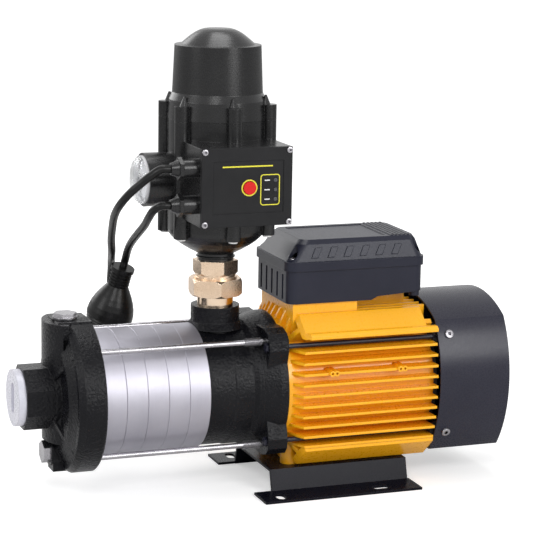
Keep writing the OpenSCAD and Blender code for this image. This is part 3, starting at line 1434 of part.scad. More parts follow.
suction_casing();
inlet_cap();
priming_plug();
drain_plug();
for (i = [1 : stages]) stage_ring(i);
diffusers();
impellers();
discharge_casing();
motor_bracket();
tie_rods();
tie_rod_nuts();
seal_seat();
seal_head();
shaft();
shaft_nut();
rotor_core();
front_bearing();
rear_bearing();
stator_core();
stator_windings();
motor_housing();
rear_shield();
through_bolts();
fan();
fan_cover();
fan_cover_screws();
terminal_box();
terminal_box_lid();
lid_screws();
capacitor();
terminal_block();
terminal_gland();
foot_bracket();
foot_bolts();
union_tail();
union_nut();
union_socket();
controller_body();
controller_cap();
cap_screws();
control_cover();
cover_screws();
circuit_board();
reset_button();
indicator_lamps();
gauge_case();
gauge_needle();
gauge_lens();
cable_glands();
flow_valve();
diaphragm();
motor_cord();
mains_cord();
plug_body();
plug_pins();
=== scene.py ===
"""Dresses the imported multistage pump: finishes, cords, screws, dial, panel, camera and studio."""
import logging
import math
from dataclasses import dataclass, field, replace
from enum import Enum

import bmesh
import bpy
from mathutils import Euler, Matrix, Vector
from mathutils.geometry import interpolate_bezier


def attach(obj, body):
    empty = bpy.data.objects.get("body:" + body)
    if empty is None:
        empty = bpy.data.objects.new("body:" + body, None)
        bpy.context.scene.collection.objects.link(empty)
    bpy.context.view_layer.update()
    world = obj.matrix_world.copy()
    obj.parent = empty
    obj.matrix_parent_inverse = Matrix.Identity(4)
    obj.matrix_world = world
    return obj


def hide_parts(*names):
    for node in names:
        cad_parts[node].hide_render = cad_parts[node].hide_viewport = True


MM = 0.001
ON_AXIS = 1e-6
SHARP_ANGLE = math.radians(35)
SHAFT_HEIGHT = 102.5
WHITE = (1.0, 1.0, 1.0, 1.0)
log = logging.getLogger("pump")

Colour = tuple[float, float, float]
Point = tuple[float, float, float]
Span = tuple[float, float]
Tree = bpy.types.NodeTree
Node = bpy.types.Node
Socket = bpy.types.NodeSocket
Mesh = bpy.types.Mesh
Piece = bpy.types.Object
Shape = bmesh.types.BMesh
Corner = bmesh.types.BMVert


class Grain(Enum):
    """How a surface's fine texture runs, as the stretch of its noise along X, Y and Z."""

    EVEN = (1.0, 1.0, 1.0)
    TURNED_ALONG_X = (1.0, 0.02, 0.02)
    TURNED_ALONG_Z = (0.05, 0.05, 1.0)


class Axis(Enum):
    """The direction in which a screw head, thread or ring faces."""

    LEFT = (-1.0, 0.0, 0.0)
    RIGHT = (1.0, 0.0, 0.0)
    FRONT = (0.0, -1.0, 0.0)
    BACK = (0.0, 1.0, 0.0)
    DOWN = (0.0, 0.0, -1.0)
    UP = (0.0, 0.0, 1.0)

    @property
    def vector(self) -> Vector:
        """The direction as a vector."""
        return Vector(self.value)


def plug(tree: Tree, socket: Socket, value: object) -> None:
    """Links a socket to an input, or sets the input to a plain value.

    Args:
        tree: The tree that holds the input.
        socket: The input.
        value: The socket or the plain value.
    """
    if isinstance(value, Socket):
        tree.links.new(value, socket)
    else:
        socket.default_value = value


def add_node(tree: Tree, kind: str, *first: object, operation: str = "",
             group: Tree | None = None, **named: object) -> Node:
    """Adds a node to a tree and fills its inputs.

    Args:
        tree: The tree.
        kind: The node's type.
        first: Values or sockets for its first inputs, in their order.
        operation: What a maths node works out.
        group: The tree that a group node holds.
        named: Values or sockets by input name, with spaces written as underscores.

    Returns:
        The node.
    """
    made = tree.nodes.new(kind)
    if operation:
        made.operation = operation
    if group is not None:
        made.node_tree = group
    for socket, value in zip(made.inputs, first):
        plug(tree, socket, value)
    for label, value in named.items():
        plug(tree, made.inputs[label.replace("_", " ")], value)
    return made


def ranged(tree: Tree, value: Socket, source: Span, target: Span = (0.0, 1.0)) -> Socket:
    """Maps a shader value from one range to another.

    Args:
        tree: The shader's tree.
        value: The socket to map.
        source: The range it comes in.
        target: The range it leaves in.

    Returns:
        The mapped value's socket.
    """
    node = add_node(tree, "ShaderNodeMapRange", Value=value, From_Min=source[0],
                    From_Max=source[1], To_Min=target[0], To_Max=target[1])
    return node.outputs["Result"]


@dataclass(frozen=True)
class Finish:
    """One surface finish of the pump, from which a procedural material is made.

    The colour drifts between colour and second in clouds of cloud_size. grain_size is the size
    of the surface's texture and relief its depth, edge the radius of its edges and worn their
    colour, all lengths in metres. shine is how strongly a surface that isn't metal reflects,
    and alpha how much of the surface stops the light.
    """

    name: str
    colour: Colour
    second: Colour
    rough: Span
    metallic: float = 0.0
    grain: Grain = Grain.EVEN
    grain_size: float = 0.002
    relief: float = 0.00003
    edge: float = 0.0004
    worn: Colour | None = None
    cloud_size: float = 0.03
    coat: float = 0.0
    transmission: float = 0.0
    alpha: float = 1.0
    ior: float = 1.5
    shine: float = 0.5

    def material(self) -> bpy.types.Material:
        """Makes the finish's material, once.

        Returns:
            The material, with its nodes built.
        """
        label = self.name + "_finish"
        found = bpy.data.materials.get(label)
        if found is not None:
            return found
        made = bpy.data.materials.new(label)
        made.use_nodes = True
        made.diffuse_color = (*self.colour, 1.0)
        FinishNodes(self, made.node_tree).build()
        return made


class SharedGroups:
    """Shader node groups that several finishes share."""

    GRAIN_DETAIL = 4.0
    CLOUD_DETAIL = 3.0
    BEVEL_SAMPLES = 4
    EDGE_MATCH = (0.995, 0.90)

    @staticmethod
    def started(name: str, inputs: dict[str, str],
                outputs: dict[str, str]) -> tuple[Tree, Node, Node]:
        """Starts a group with named inputs and outputs.

        Args:
            name: The group's name.
            inputs: Each input's kind by its name.
            outputs: Each output's kind by its name.

        Returns:
            The group's tree, the node with its inputs and the node with its outputs.
        """
        tree = bpy.data.node_groups.new(name, "ShaderNodeTree")
        for way, sockets in (("INPUT", inputs), ("OUTPUT", outputs)):
            for label, kind in sockets.items():
                tree.interface.new_socket(name=label, in_out=way, socket_type="NodeSocket" + kind)
        return tree, tree.nodes.new("NodeGroupInput"), tree.nodes.new("NodeGroupOutput")

    @classmethod
    def surface(cls) -> Tree:
        """The texture group: fine grain and soft clouds from object coordinates.

        Returns:
            A group with inputs Grain Scale, Cloud Scale and Stretch, and outputs Grain and Cloud.
        """
        found = bpy.data.node_groups.get("surface_texture")
        if found is not None:
            return found
        tree, entry, leave = cls.started(
            "surface_texture",
            {"Grain Scale": "Float", "Cloud Scale": "Float", "Stretch": "Vector"},
            {"Grain": "Float", "Cloud": "Float"})
        where = add_node(tree, "ShaderNodeTexCoord")
        stretch = add_node(tree, "ShaderNodeVectorMath", where.outputs["Object"],
                           entry.outputs["Stretch"], operation="MULTIPLY")
        grain = add_node(tree, "ShaderNodeTexNoise", Vector=stretch.outputs["Vector"],
                         Scale=entry.outputs["Grain Scale"], Detail=cls.GRAIN_DETAIL)
        cloud = add_node(tree, "ShaderNodeTexNoise", Vector=where.outputs["Object"],
                         Scale=entry.outputs["Cloud Scale"], Detail=cls.CLOUD_DETAIL)
        tree.links.new(grain.outputs["Fac"], leave.inputs["Grain"])
        tree.links.new(cloud.outputs["Fac"], leave.inputs["Cloud"])
        return tree

    @classmethod
    def edges(cls) -> Tree:
        """The edge group: a rounded normal, and how far it departs from the flat one.

        Returns:
            A group with input Radius and outputs Normal and Wear.
        """
        found = bpy.data.node_groups.get("rounded_edges")
        if found is not None:
            return found
        tree, entry, leave = cls.started("rounded_edges", {"Radius": "Float"},
                                         {"Normal": "Vector", "Wear": "Float"})
        bevel = add_node(tree, "ShaderNodeBevel", Radius=entry.outputs["Radius"])
        bevel.samples = cls.BEVEL_SAMPLES
        flat = add_node(tree, "ShaderNodeNewGeometry")
        match = add_node(tree, "ShaderNodeVectorMath", bevel.outputs["Normal"],
                         flat.outputs["Normal"], operation="DOT_PRODUCT")
        tree.links.new(bevel.outputs["Normal"], leave.inputs["Normal"])
        tree.links.new(ranged(tree, match.outputs["Value"], cls.EDGE_MATCH), leave.inputs["Wear"])
        return tree


@dataclass
class FinishNodes:
    """Builds one finish's shader nodes."""

    finish: Finish
    tree: Tree
    cloud_range: Span = (0.35, 0.65)
    grain_range: Span = (0.3, 0.7)
    coat_roughness: float = 0.06
    mix_inputs: tuple[int, int, int] = (0, 6, 7)
    mix_output: int = 2

    def mixed(self, factor: Socket, first: Socket | Colour, second: Colour) -> Socket:
        """Mixes two colours by a factor.

        Args:
            factor: The socket that gives the factor.
            first: A colour, or a socket that gives one.
            second: The other colour.

        Returns:
            The mixed colour's socket.
        """
        mix = add_node(self.tree, "ShaderNodeMix")
        mix.data_type = "RGBA"
        for place, value in zip(self.mix_inputs, (factor, first, second)):
            filled = value if isinstance(value, Socket) else (*value, 1.0)
            plug(self.tree, mix.inputs[place], filled)
        return mix.outputs[self.mix_output]

    def build(self) -> None:
        """Builds the nodes: colour, roughness and relief from the shared groups."""
        finish, tree = self.finish, self.tree
        shader = tree.nodes["Principled BSDF"]
        for label, value in (
                ("Metallic", finish.metallic), ("IOR", finish.ior), ("Alpha", finish.alpha),
                ("Specular IOR Level", finish.shine), ("Coat Weight", finish.coat),
                ("Coat Roughness", self.coat_roughness),
                ("Transmission Weight", finish.transmission)):
            shader.inputs[label].default_value = value
        texture = add_node(
            tree, "ShaderNodeGroup", group=SharedGroups.surface(), Stretch=finish.grain.value,
            Grain_Scale=1.0 / finish.grain_size, Cloud_Scale=1.0 / finish.cloud_size)
        edges = add_node(tree, "ShaderNodeGroup", group=SharedGroups.edges(), Radius=finish.edge)
        cloud = ranged(tree, texture.outputs["Cloud"], self.cloud_range)
        colour = self.mixed(cloud, finish.colour, finish.second)
        if finish.worn is not None:
            colour = self.mixed(edges.outputs["Wear"], colour, finish.worn)
        rough = ranged(tree, texture.outputs["Grain"], self.grain_range, finish.rough)
        bump = add_node(tree, "ShaderNodeBump", Distance=finish.relief, Strength=1.0,
                        Height=texture.outputs["Grain"], Normal=edges.outputs["Normal"])
        tree.links.new(colour, shader.inputs["Base Color"])
        tree.links.new(rough, shader.inputs["Roughness"])
        tree.links.new(bump.outputs["Normal"], shader.inputs["Normal"])


BLACK_CASTING = Finish(
    "black_casting", (0.003, 0.003, 0.0045), (0.006, 0.006, 0.0075), (0.16, 0.30), shine=0.16,
    grain_size=0.0024, relief=0.0009, edge=0.0012, worn=(0.012, 0.012, 0.014))
STAINLESS_SHEET = Finish(
    "stainless_sheet", (0.45, 0.44, 0.49), (0.41, 0.40, 0.45), (0.46, 0.54), metallic=1.0,
    grain=Grain.TURNED_ALONG_X, grain_size=0.0006, relief=0.000002)
TURNED_STEEL = Finish(
    "turned_steel", (0.62, 0.61, 0.60), (0.55, 0.54, 0.53), (0.2, 0.36), metallic=1.0,
    grain=Grain.TURNED_ALONG_X, grain_size=0.0008, relief=0.000006)
BRIGHT_ZINC = Finish(
    "bright_zinc", (0.42, 0.41, 0.43), (0.34, 0.33, 0.35), (0.22, 0.36), metallic=1.0,
    grain_size=0.001, relief=0.00001, edge=0.0003)
YELLOW_PAINT = Finish(
    "yellow_paint", (0.92, 0.43, 0.008), (0.89, 0.41, 0.007), (0.24, 0.36), shine=0.35,
    grain_size=0.003, relief=0.00002, edge=0.0010, coat=0.2)
BLACK_SHEET = Finish(
    "black_sheet_paint", (0.015, 0.015, 0.026), (0.018, 0.018, 0.030), (0.22, 0.34), shine=0.28,
    grain_size=0.0015, edge=0.0008)
FOOT_PAINT = Finish(
    "foot_paint", (0.004, 0.004, 0.008), (0.006, 0.006, 0.011), (0.22, 0.34), shine=0.12,
    grain_size=0.0015, edge=0.0008)
BLACK_ALUMINIUM = Finish(
    "black_aluminium", (0.03, 0.03, 0.033), (0.04, 0.04, 0.044), (0.4, 0.55), shine=0.3,
    relief=0.00012, edge=0.0006)
BLACK_PLASTIC = Finish(
    "black_plastic", (0.006, 0.006, 0.0065), (0.009, 0.009, 0.0095), (0.20, 0.32), shine=0.40,
    grain_size=0.0009, edge=0.0007)
SATIN_PLASTIC = Finish(
    "satin_plastic", (0.013, 0.013, 0.014), (0.016, 0.016, 0.017), (0.40, 0.52), shine=0.13,
    grain_size=0.0009, relief=0.00004, edge=0.0007)
SLATE_PLASTIC = Finish(
    "slate_plastic", (0.013, 0.014, 0.025), (0.016, 0.017, 0.029), (0.28, 0.40), shine=0.22,
    grain_size=0.0009, edge=0.0009)
WHITE_PLASTIC = Finish(
    "white_plastic", (0.72, 0.72, 0.74), (0.68, 0.68, 0.70), (0.3, 0.42), shine=0.35,
    grain_size=0.0012, relief=0.00002)
MILKY_PLASTIC = Finish(
    "milky_plastic", (0.62, 0.61, 0.68), (0.57, 0.57, 0.64), (0.22, 0.34), shine=0.4,
    grain_size=0.0012, relief=0.000004, edge=0.0012)
SMOKED_PLASTIC = Finish(
    "smoked_plastic", (0.05, 0.05, 0.055), (0.07, 0.07, 0.075), (0.12, 0.2),
    grain_size=0.0012, relief=0.000005)
IVORY_PLASTIC = Finish(
    "ivory_plastic", (0.72, 0.66, 0.52), (0.68, 0.62, 0.48), (0.35, 0.5),
    grain_size=0.0012, relief=0.00002)
RED_PLASTIC = Finish(
    "red_plastic", (0.58, 0.014, 0.012), (0.53, 0.012, 0.011), (0.30, 0.42), shine=0.2,
    grain_size=0.0012, relief=0.00001)
YELLOW_INK = Finish(
    "yellow_ink", (0.72, 0.66, 0.03), (0.68, 0.62, 0.03), (0.4, 0.5),
    grain_size=0.001, relief=0.00001, edge=0.0001)
WHITE_INK = Finish(
    "white_ink", (0.70, 0.70, 0.70), (0.66, 0.66, 0.66), (0.4, 0.5),
    grain_size=0.001, relief=0.000005, edge=0.0001)
BLACK_INK = Finish(
    "black_ink", (0.02, 0.02, 0.02), (0.025, 0.025, 0.025), (0.4, 0.5),
    grain_size=0.001, relief=0.000005, edge=0.0001)
PALE_BRASS = Finish(
    "pale_brass", (0.80, 0.62, 0.46), (0.70, 0.52, 0.37), (0.20, 0.36), metallic=1.0,
    grain_size=0.0008, relief=0.00002, edge=0.0005, worn=(0.88, 0.74, 0.58))
TURNED_BRASS = Finish(
    "turned_brass", (0.82, 0.66, 0.50), (0.74, 0.57, 0.42), (0.12, 0.24), metallic=1.0,
    grain=Grain.TURNED_ALONG_Z, grain_size=0.0007, relief=0.000008, edge=0.0005)
COPPER_WIRE = Finish(
    "copper_wire", (0.60, 0.22, 0.09), (0.50, 0.17, 0.06), (0.3, 0.4), metallic=0.9,
    grain_size=0.0012, relief=0.0003)
CERAMIC = Finish(
    "ceramic", (0.82, 0.79, 0.70), (0.80, 0.77, 0.68), (0.12, 0.2), relief=0.000003)
BLACK_RUBBER = Finish(
    "black_rubber", (0.004, 0.004, 0.004), (0.006, 0.006, 0.006), (0.26, 0.40), shine=0.22,
    grain_size=0.0012)
BOARD_LACQUER = Finish(
    "board_lacquer", (0.02, 0.16, 0.05), (0.02, 0.12, 0.04), (0.25, 0.4))
CLEAR_LENS = Finish(
    "clear_lens", (0.95, 0.96, 0.97), (0.93, 0.95, 0.96), (0.01, 0.02), relief=0.0, edge=0.0001,
    transmission=1.0, alpha=0.4, ior=1.25)

NODE_FINISHES: dict[str, Finish] = {
    name: finish for finish, names in (
        (BLACK_CASTING, "suction_casing discharge_casing motor_bracket"),
        (STAINLESS_SHEET, "stage_ring_1 stage_ring_2 stage_ring_3 stage_ring_4 stage_ring_5"),
        (TURNED_STEEL, "impellers seal_head shaft rotor_core stator_core front_bearing"),
        (TURNED_STEEL, "rear_bearing"),
        (BRIGHT_ZINC, "priming_plug drain_plug tie_rods tie_rod_nuts shaft_nut foot_bolts"),
        (BRIGHT_ZINC, "fan_cover_screws lid_screws cap_screws cover_screws plug_pins"),
        (BLACK_SHEET, "through_bolts fan_cover"),
        (FOOT_PAINT, "foot_bracket"),
        (BLACK_PLASTIC, "controller_body controller_cap cable_glands gauge_needle"),
        (BLACK_PLASTIC, "diffusers fan terminal_gland"),
        (SATIN_PLASTIC, "control_cover"),
        (SMOKED_PLASTIC, "indicator_lamps"),
        (SLATE_PLASTIC, "terminal_box terminal_box_lid"),
        (WHITE_PLASTIC, "capacitor gauge_case flow_valve"),
        (MILKY_PLASTIC, "inlet_cap"),
        (BLACK_RUBBER, "motor_cord mains_cord plug_body diaphragm"),
        (PALE_BRASS, "union_nut union_socket"),
        (TURNED_BRASS, "union_tail"),
        (YELLOW_PAINT, "motor_housing"),
        (BLACK_ALUMINIUM, "rear_shield"),
        (COPPER_WIRE, "stator_windings"),
        (CERAMIC, "seal_seat"),
        (IVORY_PLASTIC, "terminal_block"),
        (RED_PLASTIC, "reset_button"),
        (BOARD_LACQUER, "circuit_board"),
        (CLEAR_LENS, "gauge_lens"),
    ) for name in names.split()}


def metres(point: Point) -> Vector:
    """Turns a point in millimetres into a vector in metres."""
    return Vector(point) * MM


def facing(direction: Vector) -> Matrix:
    """A turn that takes +Z to a direction, as a 4x4 matrix."""
    return direction.to_track_quat("Z", "Y").to_matrix().to_4x4()


def linked(name: str, data: bpy.types.ID) -> Piece:
    """Makes an object of a mesh, curve, text, lamp or camera, in the scene.

    Args:
        name: The object's name.
        data: What it is made of.

    Returns:
        The object, linked to the scene.
    """
    made = bpy.data.objects.new(name, data)
    bpy.context.scene.collection.objects.link(made)
    return made


def as_mesh(name: str, shape: Shape) -> Mesh:
    """Turns a shape under work into a plain mesh.

    Args:
        name: The mesh's name.
        shape: The shape, which is freed.

    Returns:
        The mesh.
    """
    mesh = bpy.data.meshes.new(name)
    shape.to_mesh(mesh)
    shape.free()
    return mesh


def evaluated_mesh(carrier: Piece) -> Mesh:
    """The plain mesh of a text object, or of a mesh with modifiers.

    Args:
        carrier: The object, linked to the scene.

    Returns:
        The mesh.
    """
    bpy.context.view_layer.update()
    evaluated = carrier.evaluated_get(bpy.context.evaluated_depsgraph_get())
    return bpy.data.meshes.new_from_object(evaluated)


def smoothed(mesh: Mesh) -> Mesh:
    """Shades a mesh smooth, apart from its edges that are sharper than SHARP_ANGLE.

    Args:
        mesh: The mesh.

    Returns:
        The same mesh.
    """
    mesh.shade_smooth()
    mesh.set_sharp_from_angle(angle=SHARP_ANGLE)
    return mesh


def make_object(name: str, shape: Shape, finish: Finish, smooth: bool = True) -> Piece:
    """Makes a scene object from a shape in metres.

    Args:
        name: The object's name.
        shape: The shape, which is freed.
        finish: The object's finish.
        smooth: Whether its faces are shaded smooth.

    Returns:
        The object, linked to the scene.
    """
    bmesh.ops.recalc_face_normals(shape, faces=shape.faces)
    mesh = as_mesh(name, shape)
    mesh.materials.append(finish.material())
    return linked(name, smoothed(mesh) if smooth else mesh)


def circle(shape: Shape, radii: list[float], height: float) -> list[Corner]:
    """Adds one ring of corners round the Z axis.

    Args:
        shape: The shape that gets them.
        radii: Each corner's distance from the axis, in millimetres.
        height: The ring's height, in millimetres.

    Returns:
        The corners in order.
    """
    made = []
    for k, radius in enumerate(radii):
        turn = 2 * math.pi * k / len(radii)
        x, y = radius * MM * math.cos(turn), radius * MM * math.sin(turn)
        made.append(shape.verts.new((x, y, height * MM)))
    return made


def skin(shape: Shape, low: list[Corner], high: list[Corner]) -> None:
    """Joins two rings of corners by faces.

    Args:
        shape: The shape that gets them.
        low: The one ring, or the one corner of a pole.
        high: The other ring or pole.
    """
    count = max(len(low), len(high))
    for k in range(count):
        n = (k + 1) % count
        around = (low[k % len(low)], low[n % len(low)], high[n % len(high)], high[k % len(high)])
        unique = list(dict.fromkeys(around))
        if len(unique) > 2:
            shape.faces.new(unique)


def lathe(profile: list[Span], place: Vector, direction: Vector, sides: int = 48,
          closed: bool = False) -> Shape:
    """Turns a profile about an axis.

    Args:
        profile: Points as radius and height, in millimetres.
        place: Where the axis starts, in metres.
        direction: Where the height runs.
        sides: How many faces go round.
        closed: Whether the profile's last point joins its first.

    Returns:
        The turned shape in metres.
    """
    shape = bmesh.new()
    rings = [circle(shape, [radius] * sides if radius > ON_AXIS else [0.0], height)
             for radius, height in profile]
    for low, high in zip(rings, rings[1:] + (rings[:1] if closed else [])):
        skin(shape, low, high)
    shape.transform(Matrix.Translation(place) @ facing(direction))
    return shape


def flat_ring(radii: Span, thick: float, place: Point, direction: Vector, sides: int = 48) -> Shape:
    """A flat printed ring.

    Args:
        radii: Its inner and outer radius, in millimetres.
        thick: Its thickness, in millimetres.
        place: Its centre, in millimetres.
        direction: Where it faces.
        sides: How many faces go round.

    Returns:
        The ring's shape in metres.
    """
    inner, outer = radii
    profile = [(inner, 0.0), (inner, thick), (outer, thick), (outer, 0.0)]
    return lathe(profile, metres(place), direction, sides, closed=True)


@dataclass
class NodeTreeMaker:
    """Builds a Geometry Nodes tree with named inputs and turns its result into a plain mesh."""

    name: str
    tree: Tree = field(init=False)
    entry: Node = field(init=False)
    leave: Node = field(init=False)
    sockets: dict[str, str] = field(default_factory=dict)

    def __post_init__(self) -> None:
        """Starts the tree with a geometry input and output."""
        self.tree = bpy.data.node_groups.new(self.name, "GeometryNodeTree")
        for way in ("INPUT", "OUTPUT"):
            self.tree.interface.new_socket(name="Geometry", in_out=way,
                                           socket_type="NodeSocketGeometry")
        self.entry = self.tree.nodes.new("NodeGroupInput")
        self.leave = self.tree.nodes.new("NodeGroupOutput")

    def add_input(self, name: str, kind: str) -> None:
        """Adds a named input of a socket type and keeps its identifier."""
        socket = self.tree.interface.new_socket(name=name, in_out="INPUT", socket_type=kind)
        self.sockets[name] = socket.identifier

    def node(self, kind: str, **filled: object) -> Node:
        """Adds a node to the tree, as add_node does."""
        return add_node(self.tree, kind, **filled)

    def finish(self, geometry: Socket) -> None:
        """Ends the tree in Realize Instances and Set Material.

        Args:
            geometry: The socket with the finished geometry.
        """
        real = self.node("GeometryNodeRealizeInstances", Geometry=geometry)
        paint = self.node("GeometryNodeSetMaterial", Geometry=real.outputs[0],
                          Material=self.entry.outputs["Finish"])
        self.tree.links.new(paint.outputs[0], self.leave.inputs[0])

    def baked(self, name: str, seed: Mesh, values: dict[str, object]) -> Piece:
        """Runs the tree on a mesh and keeps the result as a plain object.

        Args:
            name: The new object's name.
            seed: The mesh that the tree starts from.
            values: The tree's inputs by name.

        Returns:
            The new object.
        """
        carrier = linked(name + "_carrier", seed)
        modifier = carrier.modifiers.new("tree", "NODES")
        modifier.node_group = self.tree
        for label, value in values.items():
            modifier[self.sockets[label]] = value
        mesh = evaluated_mesh(carrier)
        mesh.name = name
        carrier.modifiers.remove(modifier)
        bpy.data.objects.remove(carrier)
        return linked(name, smoothed(mesh))


class Recess(Enum):
    """What a screw head is driven by."""

    HEX = "hexagon"
    STAR = "star"


@dataclass(frozen=True)
class ScrewHead:
    """A screw in millimetres: its head seated at height 0, its shank running down from there.

    crown is the rounding of the head's rim, crown_step the share of it at its middle corner,
    and star_wave the depth of a star's waves as a share of its radius.
    """

    radius: float
    height: float
    shank_radius: float
    shank_length: float
    recess: Recess
    recess_radius: float
    recess_depth: float
    crown: float = 0.6
    crown_step: float = 0.3
    star_wave: float = 0.14
    sides: int = 36

    def mesh(self, name: str) -> Mesh:
        """Makes the head with its driven recess.

        Args:
            name: The mesh's name.

        Returns:
            The mesh, in metres, facing +Z.
        """
        shape = bmesh.new()
        step = self.crown * self.crown_step
        outer = [(self.shank_radius, -self.shank_length), (self.shank_radius, 0.0),
                 (self.radius, 0.0), (self.radius, self.height - self.crown),
                 (self.radius - step, self.height - step),
                 (self.radius - self.crown, self.height)]
        inner = [self._driver(2 * math.pi * k / self.sides) for k in range(self.sides)]
        rings = [circle(shape, [radius] * self.sides, height) for radius, height in outer]
        rings.append(circle(shape, inner, self.height))
        rings.append(circle(shape, inner, self.height - self.recess_depth))
        for low, high in zip(rings, rings[1:]):
            skin(shape, low, high)
        shape.faces.new(list(reversed(rings[0])))
        shape.faces.new(rings[-1])
        bmesh.ops.recalc_face_normals(shape, faces=shape.faces)
        return as_mesh(name, shape)

    def _driver(self, turn: float) -> float:
        """The recess's reach at a turn.

        Args:
            turn: The turn about the screw's axis, in radians.

        Returns:
            The reach in millimetres.
        """
        if self.recess is Recess.STAR:
            return self.recess_radius * (1.0 - self.star_wave + self.star_wave * math.cos(6 * turn))
        side = math.pi / 3
        return self.recess_radius * math.cos(side / 2) / math.cos((turn % side) - side / 2)


@dataclass
class Repeat:
    """Puts one mesh at many places with Geometry Nodes."""

    name: str
    mesh: Mesh
    finish: Finish

    def place(self, places: list[Vector], turns: list[Euler]) -> Piece:
        """Makes the copies.

        Args:
            places: Each copy's place, in metres.
            turns: Each copy's turn.

        Returns:
            One object with all copies.
        """
        seed = bpy.data.meshes.new(self.name + "_seed")
        seed.from_pydata([tuple(p) for p in places], [], [])
        kept = seed.attributes.new("turn", "FLOAT_VECTOR", "POINT")
        for k, turn in enumerate(turns):
            kept.data[k].vector = tuple(turn)
        model = bpy.data.objects.new(self.name + "_model", self.mesh)
        maker = NodeTreeMaker(self.name + "_pattern")
        maker.add_input("Model", "NodeSocketObject")
        maker.add_input("Finish", "NodeSocketMaterial")
        info = maker.node("GeometryNodeObjectInfo", Object=maker.entry.outputs["Model"])
        turn = maker.node("GeometryNodeInputNamedAttribute", Name="turn")
        turn.data_type = "FLOAT_VECTOR"
        spread = maker.node(
            "GeometryNodeInstanceOnPoints", Points=maker.entry.outputs["Geometry"],
            Instance=info.outputs["Geometry"], Rotation=turn.outputs["Attribute"])
        maker.finish(spread.outputs["Instances"])
        made = maker.baked(self.name, seed, {"Model": model, "Finish": self.finish.material()})
        bpy.data.objects.remove(model)
        return made

    def face(self, places: list[Point], directions: list[Vector]) -> Piece:
        """Makes the copies at places in millimetres, each facing its direction."""
        turns = [direction.to_track_quat("Z", "Y").to_euler() for direction in directions]
        return self.place([metres(p) for p in places], turns)


def slab(name: str, size: Point) -> Mesh:
    """A small block about the origin.

    Args:
        name: The mesh's name.
        size: Its size along X, Y and Z, in millimetres.

    Returns:
        The mesh in metres.
    """
    shape = bmesh.new()
    bmesh.ops.create_cube(shape, size=1.0)
    bmesh.ops.scale(shape, vec=metres(size), verts=shape.verts)
    return as_mesh(name, shape)


def joined(name: str, pieces: list[Piece]) -> Piece:
    """Makes one object of several that share a finish.

    Args:
        name: The new object's name.
        pieces: The objects, which are removed.

    Returns:
        The one object.
    """
    shape = bmesh.new()
    for piece in pieces:
        shape.from_mesh(piece.data)
    mesh = smoothed(as_mesh(name, shape))
    mesh.materials.append(pieces[0].data.materials[0])
    for piece in pieces:
        bpy.data.objects.remove(piece)
    return linked(name, mesh)


@dataclass(frozen=True)
class Thread:
    """A screw thread's ridge, in millimetres."""

    radius: float
    pitch: float
    length: float
    ridge: float
    turn_steps: int = 24
    ridge_sides: int = 6

    def make(self, name: str, place: Vector, direction: Vector, finish: Finish) -> Piece:
        """Winds the ridge as a helix with Geometry Nodes.

        Args:
            name: The new object's name.
            place: The thread's start, in metres.
            direction: Where it runs.
            finish: Its finish.

        Returns:
            The thread's object.
        """
        maker = NodeTreeMaker(name + "_helix")
        for label in ("Radius", "Length", "Turns", "Ridge"):
            maker.add_input(label, "NodeSocketFloat")
        maker.add_input("Finish", "NodeSocketMaterial")
        entry = maker.entry.outputs
        spiral = maker.node(
            "GeometryNodeCurveSpiral", Resolution=self.turn_steps, Rotations=entry["Turns"],
            Start_Radius=entry["Radius"], End_Radius=entry["Radius"], Height=entry["Length"])
        section = maker.node("GeometryNodeCurvePrimitiveCircle", Resolution=self.ridge_sides,
                             Radius=entry["Ridge"])
        ridge = maker.node("GeometryNodeCurveToMesh", Curve=spiral.outputs[0],
                           Profile_Curve=section.outputs[0], Fill_Caps=True)
        maker.finish(ridge.outputs[0])
        made = maker.baked(name, bpy.data.meshes.new(name + "_seed"), {
            "Radius": self.radius * MM, "Length": self.length * MM,
            "Turns": self.length / self.pitch, "Ridge": self.ridge * MM,
            "Finish": finish.material()})
        made.data.transform(Matrix.Translation(place) @ facing(direction))
        return made


@dataclass
class Cord:
    """A free cord along a route in millimetres, with the nodes that are on it."""

    name: str
    route: list[Point]
    diameter: float
    far_end: str
    on_it: tuple[str, ...] = ()
    curve_steps: int = 8
    round_steps: int = 5
    length_steps: int = 24

    def build(self) -> Piece:
        """Returns:
            The curve object.
        """
        curve = bpy.data.curves.new(self.name + "_line", "CURVE")
        curve.dimensions = "3D"
        curve.resolution_u = self.curve_steps
        curve.bevel_depth = self.diameter / 2 * MM
        curve.bevel_resolution = self.round_steps
        curve.use_fill_caps = True
        spline = curve.splines.new("BEZIER")
        spline.bezier_points.add(len(self.route) - 1)
        points = [metres(p) for p in self.route]
        for k, bez in enumerate(spline.bezier_points):
            before, after = points[max(k - 1, 0)], points[min(k + 1, len(points) - 1)]
            tangent = (after - before).normalized()
            bez.co = points[k]
            bez.handle_left_type = bez.handle_right_type = "FREE"
            bez.handle_left = points[k] - tangent * (points[k] - before).length / 3
            bez.handle_right = points[k] + tangent * (after - points[k]).length / 3
        curve.materials.append(BLACK_RUBBER.material())
        made = linked(self.name + "_sheath", curve)
        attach(made, "pump")
        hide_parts(self.name)
        length = self.length(spline)
        log.info("%s: %.0f mm of cord", self.name, length / MM)
        return made

    def length(self, spline: bpy.types.Spline) -> float:
        """Measures a spline.

        Args:
            spline: The spline.

        Returns:
            Its length in metres.
        """
        total = 0.0
        for one, two in zip(spline.bezier_points, spline.bezier_points[1:]):
            line = interpolate_bezier(one.co, one.handle_right, two.handle_left, two.co,
                                      self.length_steps)
            total += sum((b - a).length for a, b in zip(line, line[1:]))
        return total


def ride(piece: Piece, body: str, slot: str, *replaced: str) -> Piece:
    """Makes a piece ride on a body, and hides the nodes that it stands for.

    Args:
        piece: The piece.
        body: The body that carries it.
        slot: The record's material slot; not used.
        replaced: The nodes that it stands for.

    Returns:
        The piece.
    """
    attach(piece, body)
    if replaced:
        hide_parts(*replaced)
    log.info("piece %s on %s", piece.name, body)
    return piece


